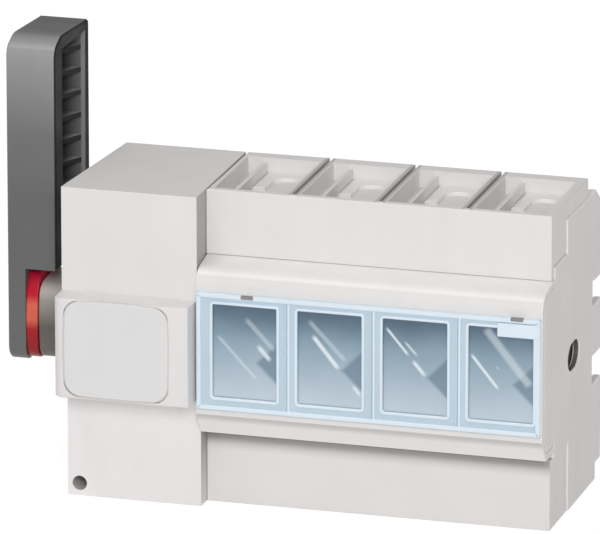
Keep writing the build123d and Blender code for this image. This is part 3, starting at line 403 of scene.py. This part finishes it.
# Painted highlight on the lever: its front is painted lighter towards the top, and its top is painted lighter
# towards the front edge.
lever_look = lever_surface("lever_look", "Z", [
    (0.0365, "686868"), (0.060, "676767"), (0.090, "666666"), (0.112, "727272"), (0.134, "969696"),
    (0.141, "A4A4A4"),
])
lever_top_look = lever_surface("lever_top_look", "Y", [
    (-0.0135, "B4B4B4"), (-0.0090, "9C9C9C"), (-0.0045, "767676"), (0.0, "6C6C6C"), (0.0225, "686868"),
])
# Painted shade on the lever's right-facing rim, with a painted highlight band near its rear edge.
lever_rim_look = rim_surface()
# Painted shade in the lever's hollow, darker towards its deep end; the rib tops and the rear wall's edge strip are
# painted lighter as painted highlight.
lever_hollow_look = lever_surface("lever_hollow_look", "Y", [
    (-0.0062, "181818"), (0.006, "2A2A2A"), (0.0185, "3C3C3C"),
], specular=0.1, roughness=(0.5, 0.62))
lever_web_look = lever_surface("lever_web_look", "X", [
    (-0.1020, "303030"), (-0.0940, "606060"), (-0.0915, "A4A4A4"), (-0.0880, "B4B4B4"),
], specular=0.15)
lever_wall_look = lever_surface("lever_wall_look", "X", [
    (-0.1020, "242424"), (-0.0952, "404040"), (-0.0925, "606060"), (-0.0898, "747474"), (-0.0892, "9C9C9C"),
    (-0.0880, "929292"),
], specular=0.12, roughness=(0.5, 0.62))


# ---------- mesh helpers ----------

WELD = 1e-6
FLAT_ANGLE = math.radians(0.4)
SHARP_ANGLE = math.radians(25)


def mesh_object(name, mesh, looks, body, replaced=()):
    """Puts a finished mesh in the scene, on its body, with its looks."""
    for look in looks:
        mesh.materials.append(look)
    piece = bpy.data.objects.new(name, mesh)
    scene.collection.objects.link(piece)
    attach(piece, body)
    if replaced:
        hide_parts(*replaced)
    return piece


def finished(bm, name):
    """The mesh of a bmesh, which is freed."""
    mesh = bpy.data.meshes.new(name)
    bm.to_mesh(mesh)
    bm.free()
    return mesh


def weighted(piece, angle=30.0):
    """Smooth shading with normals weighted by face, kept in the mesh."""
    for polygon in piece.data.polygons:
        polygon.use_smooth = True
    piece.data.set_sharp_from_angle(angle=math.radians(angle))
    modifier = piece.modifiers.new("weighted", "WEIGHTED_NORMAL")
    modifier.keep_sharp = True
    graph = bpy.context.evaluated_depsgraph_get()
    mesh = bpy.data.meshes.new_from_object(piece.evaluated_get(graph), preserve_all_data_layers=True,
                                           depsgraph=graph)
    piece.modifiers.clear()
    piece.data = mesh


def bevelled(bm, edges, width, segments, look=0):
    """Rounds edges by a width in millimetres; the new strips take the look with that index."""
    bmesh.ops.bevel(bm, geom=edges, offset=width * MM, offset_type="OFFSET", segments=segments, profile=0.5,
                    affect="EDGES", clamp_overlap=True, material=look)


def thickened(bm, axis, place):
    """Extrudes the whole sheet up to a place on an axis, in millimetres."""
    for item in bmesh.ops.extrude_face_region(bm, geom=list(bm.faces))["geom"]:
        if isinstance(item, bmesh.types.BMVert):
            item.co[axis] = place * MM
    bmesh.ops.recalc_face_normals(bm, faces=bm.faces)


def dressed(node, name, looks, body, width, shape=None, cuts=()):
    """The node's form with its outer edges rounded; the rounded strips take the second look.

    The shape moves its points first, and each cut adds edges where a plane (point, normal) crosses it.
    """
    bm = bmesh.new()
    bm.from_mesh(nodes[node].data)
    bmesh.ops.remove_doubles(bm, verts=bm.verts, dist=WELD)
    bm.verts.index_update()
    if shape:
        for v in bm.verts:
            v.co = shape(v.co)
    clean = bmesh.new()
    made = [clean.verts.new(v.co) for v in bm.verts]
    for face in bm.faces:
        clean.faces.new([made[v.index] for v in face.verts])
    bm.free()
    bmesh.ops.recalc_face_normals(clean, faces=clean.faces)
    bmesh.ops.dissolve_limit(clean, angle_limit=FLAT_ANGLE, verts=clean.verts, edges=clean.edges)
    for place, normal in cuts:
        bmesh.ops.bisect_plane(clean, geom=list(clean.verts) + list(clean.edges) + list(clean.faces),
                               dist=WELD, plane_co=place, plane_no=normal)
    clean.normal_update()
    sharp = [e for e in clean.edges if e.is_manifold and e.calc_face_angle_signed(0.0) > SHARP_ANGLE]
    if width:
        bevelled(clean, sharp, width, 2, 1)
    piece = mesh_object(name, finished(clean, name), looks, body, (node,))
    weighted(piece)
    return piece


def closed_band(name, sections):
    """A mesh through closed sections of points in metres, from the last section back to the first."""
    bm = bmesh.new()
    loops = [[bm.verts.new(point) for point in section] for section in sections]
    for i, loop in enumerate(loops):
        after = loops[(i + 1) % len(loops)]
        for k in range(len(loop)):
            m = (k + 1) % len(loop)
            bm.faces.new((loop[k], loop[m], after[m], after[k]))
    bmesh.ops.recalc_face_normals(bm, faces=bm.faces)
    return finished(bm, name)


def ring(name, x0, x1, z0, z1, corner, profile, look):
    """A moulded rim round a rectangle; the profile is (distance outwards, y) pairs in millimetres."""
    corner_steps = 5
    sections = []
    for cx, cz, turn in ((x1 - corner, z1 - corner, 0), (x0 + corner, z1 - corner, 90),
                         (x0 + corner, z0 + corner, 180), (x1 - corner, z0 + corner, 270)):
        for k in range(corner_steps + 1):
            angle = math.radians(turn + 90 * k / corner_steps)
            nx, nz = math.cos(angle), math.sin(angle)
            x, z = cx + corner * nx, cz + corner * nz
            sections.append([((x + nx * out) * MM, y * MM, (z + nz * out) * MM) for out, y in profile])
    piece = mesh_object(name, closed_band(name, sections), [look], "housing")
    weighted(piece, 40.0)
    return piece


def rounded_block(name, low, high, width, looks, body, segments=3):
    """A block with rounded edges, between two corners in millimetres."""
    bm = bmesh.new()
    bmesh.ops.create_cube(bm, size=1.0)
    for v in bm.verts:
        v.co = Vector([(low[i] + high[i]) / 2 + v.co[i] * (high[i] - low[i]) for i in range(3)]) * MM
    bevelled(bm, list(bm.edges), width, segments)
    piece = mesh_object(name, finished(bm, name), looks, body)
    weighted(piece)
    return piece


def extruded(name, outline, low, high, looks, body, width):
    """A plate parallel to the ground, from an outline in millimetres, with rounded upper edges."""
    bm = bmesh.new()
    verts = [bm.verts.new((x * MM, y * MM, high * MM)) for x, y in outline]
    edges = [bm.edges.new((v, verts[(i + 1) % len(verts)])) for i, v in enumerate(verts)]
    bmesh.ops.triangle_fill(bm, use_beauty=True, edges=edges)
    bmesh.ops.recalc_face_normals(bm, faces=bm.faces)
    if bm.faces[0].normal.z < 0:
        bmesh.ops.reverse_faces(bm, faces=bm.faces)
    bmesh.ops.dissolve_limit(bm, angle_limit=FLAT_ANGLE, verts=bm.verts, edges=bm.edges)
    thickened(bm, 2, low)
    sharp = [e for e in bm.edges if e.is_manifold and min(v.co.z for v in e.verts) > (low + high) / 2 * MM
             and e.calc_face_angle_signed(0.0) > SHARP_ANGLE]
    bevelled(bm, sharp, width, 2, 1)
    piece = mesh_object(name, finished(bm, name), looks, body)
    weighted(piece)
    return piece


def repaint(piece, look, test):
    """Gives a look to the faces of a piece that the test picks by centre and normal."""
    piece.data.materials.append(look)
    index = len(piece.data.materials) - 1
    for polygon in piece.data.polygons:
        if test(polygon.center, polygon.normal):
            polygon.material_index = index


# ---------- looks of the CAD nodes ----------

for name, node in nodes.items():
    look = steel_look
    if name.startswith("rotor"):
        look = rotor_look
    elif name.startswith(("moving_blade", "upper_contact", "lower_contact")):
        look = copper_look
    elif name in ("mechanism_housing", "front_cover", "upper_terminal_shroud", "lower_terminal_shroud",
                  "end_plate", "rear_base"):
        look = housing_look
    elif name == "pole_frame":
        # Dark as painted shade inside the side opening
        look = inside_look
    node.data.materials.clear()
    node.data.materials.append(look)


# ---------- housing, with rounded edges ----------

# The grooves between the wells and the half width of the two walls beside each, in millimetres
GROOVES = (-6.0, 22.25, 50.5)
WALL_TOP = 1.75

# The rest of this section is in metres
SHAFT_Z = 0.050
NOSE_LOW, NOSE_HIGH = 0.0366, 0.0694
MECHANISM_SHOULDER_Y = -0.027
BAND_REAR_Y = -0.0245
RIM_X, RIM_WIDTH, RIM_FOOT, RIM_DROP = -0.0334, 0.00065, 0.1020, 0.0016
OPENING_HALF_Y, OPENING_HALF_Z, OPENING_SQUEEZE = 0.0074, 0.0054, 0.86
OPENING_MARGIN = 0.0001
LATCH_SLOT_TOP, LATCH_SLOT_CLOSED = 0.07415, 0.0730
SCREW_X, SCREW_Z, SCREW_HOLE_RADIUS = -0.07455, 0.0042, 0.0028


def lowered_rim(co):
    """The left rim of the upper shroud drops beside the mechanism, behind the front band."""
    if co.z > RIM_FOOT and co.y > BAND_REAR_Y and co.x < RIM_X:
        return Vector((co.x, co.y, co.z - RIM_DROP * (RIM_X - co.x) / RIM_WIDTH))
    return co


def narrower_slot(co):
    """The opening in the right side is a little less high than the solid's."""
    if abs(co.y) < OPENING_HALF_Y and abs(co.z - SHAFT_Z) < OPENING_HALF_Z:
        return Vector((co.x, co.y, SHAFT_Z + (co.z - SHAFT_Z) * OPENING_SQUEEZE))
    return co


def closed_slots(co):
    """The latch slots of the front cover end behind the window frame."""
    if abs(co.z - LATCH_SLOT_TOP) < 0.00005 and co.y < -0.030:
        return Vector((co.x, co.y, LATCH_SLOT_CLOSED))
    return co


# Cuts beside each groove bound the painted shade on the wall tops.
wall_cuts = tuple((((x + side * WALL_TOP) * MM, 0, 0), (1, 0, 0)) for x in GROOVES for side in (-1, 1))
mechanism_cuts = (((0, MECHANISM_SHOULDER_Y, 0), (0, 1, 0)), ((0, 0, NOSE_HIGH), (0, 0, 1)),
                  ((0, 0, NOSE_LOW), (0, 0, 1)))
skins = {}
# The rounded strips of the housing skins take edge_look, a painted highlight.
for node, width, shape, cuts in (
    ("mechanism_housing", 0.6, None, mechanism_cuts),
    ("front_cover", 0.5, closed_slots, ()),
    ("upper_terminal_shroud", 0.45, lowered_rim, wall_cuts),
    ("lower_terminal_shroud", 0.6, None, ()),
    ("end_plate", 0.5, narrower_slot, ()),
    ("rear_base", 0.5, None, ()),
):
    skins[node] = dressed(node, node + "_skin", [housing_look, edge_look], "housing", width,
                          shape=shape, cuts=cuts)


def near_groove(co, reach):
    """Whether a point lies within a reach of a groove's middle."""
    return any(abs(co.x - x * MM) < reach for x in GROOVES)


for node, look, test in (
    # Painted shade on the mechanism's right-facing step faces
    ("mechanism_housing", step_look, lambda c, n: n.x > 0.8 and c.x > -0.0350 and c.y < 0.017
     and (c.z > 0.0700 or c.z < 0.0360)),
    # Painted shade on the walls of the side opening
    ("end_plate", hole_look, lambda c, n: abs(n.x) < 0.3 and abs(c.y) < OPENING_HALF_Y + OPENING_MARGIN
     and abs(c.z - SHAFT_Z) < OPENING_HALF_Z + OPENING_MARGIN),
    # Painted highlight on the nose's top slope
    ("front_cover", nose_top_look, lambda c, n: n.z > 0.45 and c.z > 0.0780 and c.y < -0.0271),
    # Painted light on the mechanism's lower front
    ("mechanism_housing", lower_front_look, lambda c, n: n.y < -0.8 and c.y < -0.030 and c.z < NOSE_LOW),
    # Painted shade in the screw hole
    ("mechanism_housing", screw_hole_look, lambda c, n: abs(n.y) < 0.5 and c.y < -0.0150
     and math.hypot(c.x - SCREW_X, c.z - SCREW_Z) < SCREW_HOLE_RADIUS),
    # Painted shadow under the chin
    ("lower_terminal_shroud", under_chin_look, lambda c, n: n.y < -0.8 and c.y < -0.0260),
    # Painted light on the chin, with painted shade at its crease
    ("front_cover", chin_look, lambda c, n: abs(n.x) < 0.5 and n.y < -0.4 and 0.0256 < c.z < 0.0345),
    # Painted shadow line on the chin's lower bevel
    ("front_cover", chin_edge_look, lambda c, n: n.z < -0.2 and c.z < 0.0258 and c.y < -0.0300),
    # Painted shade on the well floors
    ("upper_terminal_shroud", well_floor_look, lambda c, n: n.z > 0.9 and 0.0968 < c.z < 0.0975),
    # Painted shade on the wall tops beside the grooves
    ("upper_terminal_shroud", wall_top_look, lambda c, n: n.z > 0.5 and c.z > 0.1026 and c.y > BAND_REAR_Y
     and near_groove(c, WALL_TOP * MM)),
    # Painted shade inside the grooves
    ("upper_terminal_shroud", groove_shade_look, lambda c, n: c.z < 0.1029 and (n.x > 0.5 or n.z > 0.5)
     and near_groove(c, 0.0009)),
):
    repaint(skins[node], look, test)


# ---------- blanking plate and the line round it ----------

PLATE_X, PLATE_Z = -57.95, 53.2
PLATE_HALF_X, PLATE_HALF_Z, PLATE_CORNER, PLATE_BULGE = 16.6, 15.2, 5.0, 0.6
CORNER_POINTS = 9
SIDE_STEPS = 6
# The line's section, as (distance outwards, y)
SEAM_PROFILE = ((-0.02, -46.95), (0.38, -46.95), (0.38, -46.1), (-0.02, -46.1))


def plate_seam():
    """The grey line round the blanking plate, a little below the face: a square with bowed sides."""
    path = []
    for cx, cz, turn in ((1, 1, 0), (-1, 1, 90), (-1, -1, 180), (1, -1, 270)):
        for k in range(CORNER_POINTS):
            angle = math.radians(turn + 90 * k / (CORNER_POINTS - 1))
            nx, nz = math.cos(angle), math.sin(angle)
            path.append((cx * (PLATE_HALF_X - PLATE_CORNER) + PLATE_CORNER * nx,
                         cz * (PLATE_HALF_Z - PLATE_CORNER) + PLATE_CORNER * nz, nx, nz))
    divided = []
    for i, start in enumerate(path):
        end = path[(i + 1) % len(path)]
        steps = SIDE_STEPS if i % CORNER_POINTS == CORNER_POINTS - 1 else 1
        for t in range(steps):
            divided.append([start[c] + (end[c] - start[c]) * t / SIDE_STEPS for c in range(4)])
    sections = []
    for x, z, nx, nz in divided:
        bow_x = PLATE_BULGE * (1 - (z / PLATE_HALF_Z) ** 2) * (x / PLATE_HALF_X)
        bow_z = PLATE_BULGE * (1 - (x / PLATE_HALF_X) ** 2) * (z / PLATE_HALF_Z)
        sections.append([((x + bow_x + nx * out + PLATE_X) * MM, y * MM, (z + bow_z + nz * out + PLATE_Z) * MM)
                         for out, y in SEAM_PROFILE])
    return closed_band("plate_seam", sections)


dressed("blanking_plate", "blanking_plate_skin", [plate_look, plate_edge_look], "housing", 0.0)
mesh_object("plate_seam", plate_seam(), [plate_seam_look], "housing")


# ---------- bushing, collar and lever ----------

# The heights between which the collar is drawn up, and by how much, in metres
COLLAR_FOOT, COLLAR_SPAN, COLLAR_RISE = 0.058, 0.0054, 0.0037
# Indexes of the lever's looks of painted highlight and painted shade
TOP, RIM, HOLLOW, WEB, WALL = 2, 3, 4, 5, 6


def taller_collar(co):
    """The collar's upper part reaches up to the underside of the grip."""
    rise = max(0.0, min(1.0, (co.z - COLLAR_FOOT) / COLLAR_SPAN))
    return Vector((co.x, co.y, co.z + COLLAR_RISE * rise * rise))


dressed("side_bushing", "side_bushing_skin", [bushing_look, bushing_look], "housing", 0.4)
dressed("indicator_disc", "indicator_skin", [red_look, red_look], "operating_shaft", 0.4,
        shape=taller_collar)
lever = dressed("lever_handle", "lever_skin",
                [lever_look, lever_look, lever_top_look, lever_rim_look, lever_hollow_look, lever_web_look,
                 lever_wall_look],
                "operating_shaft", 0.4)
# The lever's faces take painted light and shade by where they face: painted highlight on the top, painted shade on
# the rim, in the hollow and on its rear wall, painted light on the rib tops.
for polygon in lever.data.polygons:
    centre, normal = polygon.center, polygon.normal
    in_hollow = -0.1021 < centre.x < -0.0882 and -0.0062 < centre.y < 0.0185 and 0.0700 < centre.z < 0.1394
    if in_hollow:
        polygon.material_index = WEB if normal.z > 0.6 else WALL if normal.y < -0.7 else HOLLOW
    elif normal.x > 0.6 and centre.x > -0.0895 and centre.z > 0.0680:
        polygon.material_index = RIM
    elif normal.z > 0.6 and centre.z > 0.1350:
        polygon.material_index = TOP


# ---------- leaf springs of the rail clips, each with a mesh of its own; the real springs shorten as the clips slide ---

for side in ("left", "right"):
    node = "clip_spring_" + side
    spring = dressed(node, node + "_leaf", [steel_look, steel_look], "housing", 0.0)
    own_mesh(spring)


# ---------- window cover: a frame with raised rims round four clear panes ----------

PANE_LEFT = -27.9
PANE_STEP = 27.75
PANE_WIDTH = 20.8
PANE_LOW = 39.4
PANE_HIGH = 69.8
WINDOW = (-33.35, 78.45, 35.0, 73.3)
NOSE_Y = -39.5
FRAME_Y = -40.85
FRAME_INSET = 0.1
BORDER_CORNER = 0.9
BORDER_PROFILE = (
    (0.0, -39.55), (0.0, -41.15), (-0.15, -41.40), (-0.40, -41.50), (-1.15, -41.50), (-1.40, -41.40),
    (-1.55, -41.15), (-1.55, -40.70),
)
PANE_CORNER = 0.4
PANE_PROFILE = (
    (0.0, -39.70), (0.0, -41.10), (0.10, -41.38), (0.30, -41.50), (0.72, -41.50), (0.92, -41.40),
    (1.02, -41.15), (1.02, -40.70),
)
PANE_Y = -40.62
PANE_CROWN = 0.14
PANE_OVERLAP = 0.05
PANE_COLUMNS, PANE_ROWS = 14, 20
# Each bar between two panes: its letter, its distance from the pane and its look; the rim look is a painted
# highlight
PANE_BARS = (("a", 2.55, frame_look), ("b", 3.60, rim_look))
BAR_WIDTH = 0.75
TAB_WIDTH = 13.7
# The painted reflection streaks of each pane
STREAKS = (
    (((-13.5, 57.5, -8.9, 52.3), 0.75, 0.75), ((-17.4, 66.0, -7.6, 55.8), 0.80, 0.30),
     ((-26.6, 59.7, -13.5, 46.0), 0.55, 0.32)),
    (((4.5, 62.3, 13.3, 51.6), 0.70, 0.85), ((3.2, 67.1, 15.6, 54.4), 0.75, 0.30),
     ((17.5, 47.0, 20.6, 43.2), 0.6, 0.7)),
    (((28.4, 66.9, 36.0, 58.1), 0.45, 0.80), ((34.4, 62.9, 38.9, 58.1), 0.40, 0.60),
     ((37.0, 56.9, 41.5, 51.7), 0.65, 0.80)),
    (((55.9, 60.6, 65.1, 49.5), 0.50, 0.85), ((60.5, 69.4, 75.4, 51.1), 1.30, 0.40),
     ((63.8, 57.3, 65.4, 56.1), 0.35, 0.5)),
)

pane_edges = [(PANE_LEFT + i * PANE_STEP, PANE_LEFT + i * PANE_STEP + PANE_WIDTH) for i in range(4)]


def window_plate():
    """The frame's plate, open at each pane."""
    grid_x = [WINDOW[0] + FRAME_INSET] + [x for pair in pane_edges for x in pair] + [WINDOW[1] - FRAME_INSET]
    grid_z = [WINDOW[2] + FRAME_INSET, PANE_LOW, PANE_HIGH, WINDOW[3] - FRAME_INSET]
    bm = bmesh.new()
    corners = [[bm.verts.new((x * MM, FRAME_Y * MM, z * MM)) for z in grid_z] for x in grid_x]
    for i in range(len(grid_x) - 1):
        for k in range(len(grid_z) - 1):
            if not (k == 1 and i % 2 == 1):
                bm.faces.new((corners[i][k], corners[i + 1][k], corners[i + 1][k + 1], corners[i][k + 1]))
    thickened(bm, 1, NOSE_Y)
    return finished(bm, "window_plate")


def pane_sheet(name, x0, x1):
    """A pane, slightly crowned in front."""
    bm = bmesh.new()
    sheet = []
    for a in range(PANE_COLUMNS + 1):
        u = 2 * a / PANE_COLUMNS - 1
        sheet.append([])
        for b in range(PANE_ROWS + 1):
            v = 2 * b / PANE_ROWS - 1
            crown = PANE_CROWN * (1 - u * u) * (1 - v * v)
            x = (x0 + x1) / 2 + u * (PANE_WIDTH / 2 + PANE_OVERLAP)
            z = (PANE_LOW + PANE_HIGH) / 2 + v * ((PANE_HIGH - PANE_LOW) / 2 + PANE_OVERLAP)
            sheet[a].append(bm.verts.new((x * MM, (PANE_Y - crown) * MM, z * MM)))
    for a in range(PANE_COLUMNS):
        for b in range(PANE_ROWS):
            bm.faces.new((sheet[a][b], sheet[a + 1][b], sheet[a + 1][b + 1], sheet[a][b + 1]))
    thickened(bm, 1, NOSE_Y)
    return finished(bm, name)


mesh_object("window_plate", window_plate(), [frame_look], "housing", ("window_cover",))
# The window border and the pane rims take rim_look, a painted highlight.
ring("window_border", *WINDOW, BORDER_CORNER, BORDER_PROFILE, rim_look)
for i, (x0, x1) in enumerate(pane_edges):
    ring("pane_rim_%d" % (i + 1), x0, x1, PANE_LOW, PANE_HIGH, PANE_CORNER, PANE_PROFILE, rim_look)
    name = "pane_%d" % (i + 1)
    look = pane_surface("pane_look_%d" % (i + 1), x1 * MM, STREAKS[i])
    pane = mesh_object(name, pane_sheet(name, x0, x1), [look], "housing")
    weighted(pane, 40.0)
    if i < len(pane_edges) - 1:
        for letter, start, look in PANE_BARS:
            rounded_block("pane_bar_%d%s" % (i + 1, letter), (x1 + start, -41.30, 36.4),
                          (x1 + start + BAR_WIDTH, -40.6, 72.0), 0.2, [look], "housing")
rounded_block("window_tab", (WINDOW[1] - TAB_WIDTH, -42.28, 67.3), (WINDOW[1] - 0.02, -40.9, 71.7), 0.35,
              [tab_look], "housing")
# Grey latch blocks, painted shade of the latch slots
for side, x, z in (("left", -16.6, 72.7), ("right", 70.9, 72.95)):
    rounded_block("window_latch_" + side, (x - 2.1, -41.62, z - 0.6), (x + 2.1, -40.2, z + 0.6), 0.3,
                  [latch_look], "housing")


# ---------- terminal wells: floor plates round the cable funnels, and the closed front of the grooves ----------

POLES = (-20.125, 8.125, 36.375, 64.625)
POLE_HALF = 14.125
# A well lies between a divider in the left half of its pole and the wall beside the groove or the right side
DIVIDER_PLACE, DIVIDER_WIDTH = 8.0, 0.6
GROOVE_HALF, GROOVE_WALL = 0.65, 1.5
RIGHT_SIDE, RIGHT_WALL = 78.15, 2.4
WELL_PLAY = 0.15
# The cut-out round the funnel: its middle from the pole's middle, its radius, and the y of its arc's centre
FUNNEL_X, FUNNEL_RADIUS, FUNNEL_Y = 3.4, 4.6, 3.0
STEP_Y = -4.9
WELL_FRONT, WELL_REAR = -24.3, 12.8
BLOCK_HALF = 1.3
BLOCK_FRONT, BLOCK_REAR = -27.03, -24.62

for i, x in enumerate(POLES):
    left = x - POLE_HALF + DIVIDER_PLACE + DIVIDER_WIDTH + WELL_PLAY
    right = min(x + POLE_HALF - GROOVE_HALF - GROOVE_WALL, RIGHT_SIDE - RIGHT_WALL) - WELL_PLAY
    middle = x + FUNNEL_X
    arc = [(middle - FUNNEL_RADIUS * math.cos(math.radians(a)), FUNNEL_Y + FUNNEL_RADIUS * math.sin(math.radians(a)))
           for a in range(0, 181, 15)]
    outline = [(left, STEP_Y), (middle - FUNNEL_RADIUS, STEP_Y)] + arc + [
        (middle + FUNNEL_RADIUS, WELL_FRONT), (right, WELL_FRONT), (right, WELL_REAR), (left, WELL_REAR)]
    # The liner's rounded edges take edge_look, a painted highlight.
    extruded("well_floor_%d" % (i + 1), outline, 97.0, 98.3, [liner_look, edge_look], "housing",
             0.35)
for i, x in enumerate(GROOVES):
    # The rounded edges of the groove fronts take edge_look, a painted highlight.
    extruded("groove_front_%d" % (i + 1), [(x - BLOCK_HALF, BLOCK_FRONT), (x + BLOCK_HALF, BLOCK_FRONT),
                                           (x + BLOCK_HALF, BLOCK_REAR), (x - BLOCK_HALF, BLOCK_REAR)],
             100.3, 103.01, [housing_look, edge_look], "housing", 0.5)


# ---------- wall behind the mechanism ----------

rounded_block("mechanism_back_wall", (-71.9, 15.6, 92.0), (-36.5, 17.4, 100.7), 0.15, [housing_look],
              "housing", 2)


# ---------- floor, world and lamps ----------

FLOOR_HALF = 8
FLOOR_WHITE = 0.84
AIM_HEIGHT = 0.06


def camera_white(n, shader, strength):
    """Adds plain white for camera, glossy and transmission rays to a shader."""
    rays = n.new("ShaderNodeLightPath").outputs
    seen = n.maths("MAXIMUM", rays["Is Camera Ray"], rays["Is Glossy Ray"])
    seen = n.maths("MAXIMUM", seen, rays["Is Transmission Ray"])
    emission = n.new("ShaderNodeEmission")
    n.link(n.maths("MULTIPLY", seen, strength), emission.inputs["Strength"])
    both = n.new("ShaderNodeAddShader")
    n.link(shader.outputs[0], both.inputs[0])
    n.link(emission.outputs[0], both.inputs[1])
    return both.outputs[0]


floor_look = Nodes("floor_look")
floor_rays = floor_look.new("ShaderNodeLightPath").outputs
floor_diffuse = floor_look.new("ShaderNodeBsdfDiffuse")
floor_look.link(floor_look.mix(floor_rays["Is Camera Ray"], (0.88, 0.87, 0.86, 1), (0.32, 0.32, 0.32, 1)),
                floor_diffuse.inputs["Color"])
floor_look.link(camera_white(floor_look, floor_diffuse, FLOOR_WHITE), floor_look.output.inputs["Surface"])
floor_mesh = bpy.data.meshes.new("floor")
floor_mesh.from_pydata([(x * FLOOR_HALF, y * FLOOR_HALF, 0) for x, y in ((-1, -1), (1, -1), (1, 1), (-1, 1))],
                       [], [(0, 1, 2, 3)])
floor = bpy.data.objects.new("floor", floor_mesh)
floor.data.materials.append(floor_look.material)
scene.collection.objects.link(floor)

# The camera sees plain white behind the object, and everything else gets a softer, faintly warm light
world = bpy.data.worlds.new("world")
world.use_nodes = True
scene.world = world
tree = world.node_tree
tree.nodes.clear()
path = tree.nodes.new("ShaderNodeLightPath")
soft = tree.nodes.new("ShaderNodeBackground")
soft.inputs["Color"].default_value = (1.0, 0.985, 0.985, 1)
soft.inputs["Strength"].default_value = 0.405
white = tree.nodes.new("ShaderNodeBackground")
white.inputs["Color"].default_value = (1, 1, 1, 1)
white.inputs["Strength"].default_value = 1.0
mix = tree.nodes.new("ShaderNodeMixShader")
out = tree.nodes.new("ShaderNodeOutputWorld")
tree.links.new(path.outputs["Is Camera Ray"], mix.inputs[0])
tree.links.new(soft.outputs[0], mix.inputs[1])
tree.links.new(white.outputs[0], mix.inputs[2])
tree.links.new(mix.outputs[0], out.inputs["Surface"])


def studio(name, azimuth, elevation, distance, size, power):
    """A soft round lamp aimed at the object, placed by its angles from the front."""
    a, e = math.radians(azimuth), math.radians(elevation)
    aim = Vector((0, 0, AIM_HEIGHT))
    place = Vector((math.sin(a) * math.cos(e), -math.cos(a) * math.cos(e), math.sin(e))) * distance + aim
    data = bpy.data.lights.new(name, "AREA")
    data.shape = "DISK"
    data.size = size
    data.energy = power
    lamp = bpy.data.objects.new(name, data)
    lamp.location = place
    lamp.rotation_euler = (aim - place).to_track_quat("-Z", "Y").to_euler()
    scene.collection.objects.link(lamp)


studio("key", 17, 24, 2.6, 1.0, 27)
studio("overhead", -46, 67, 1.6, 0.5, 4.0)
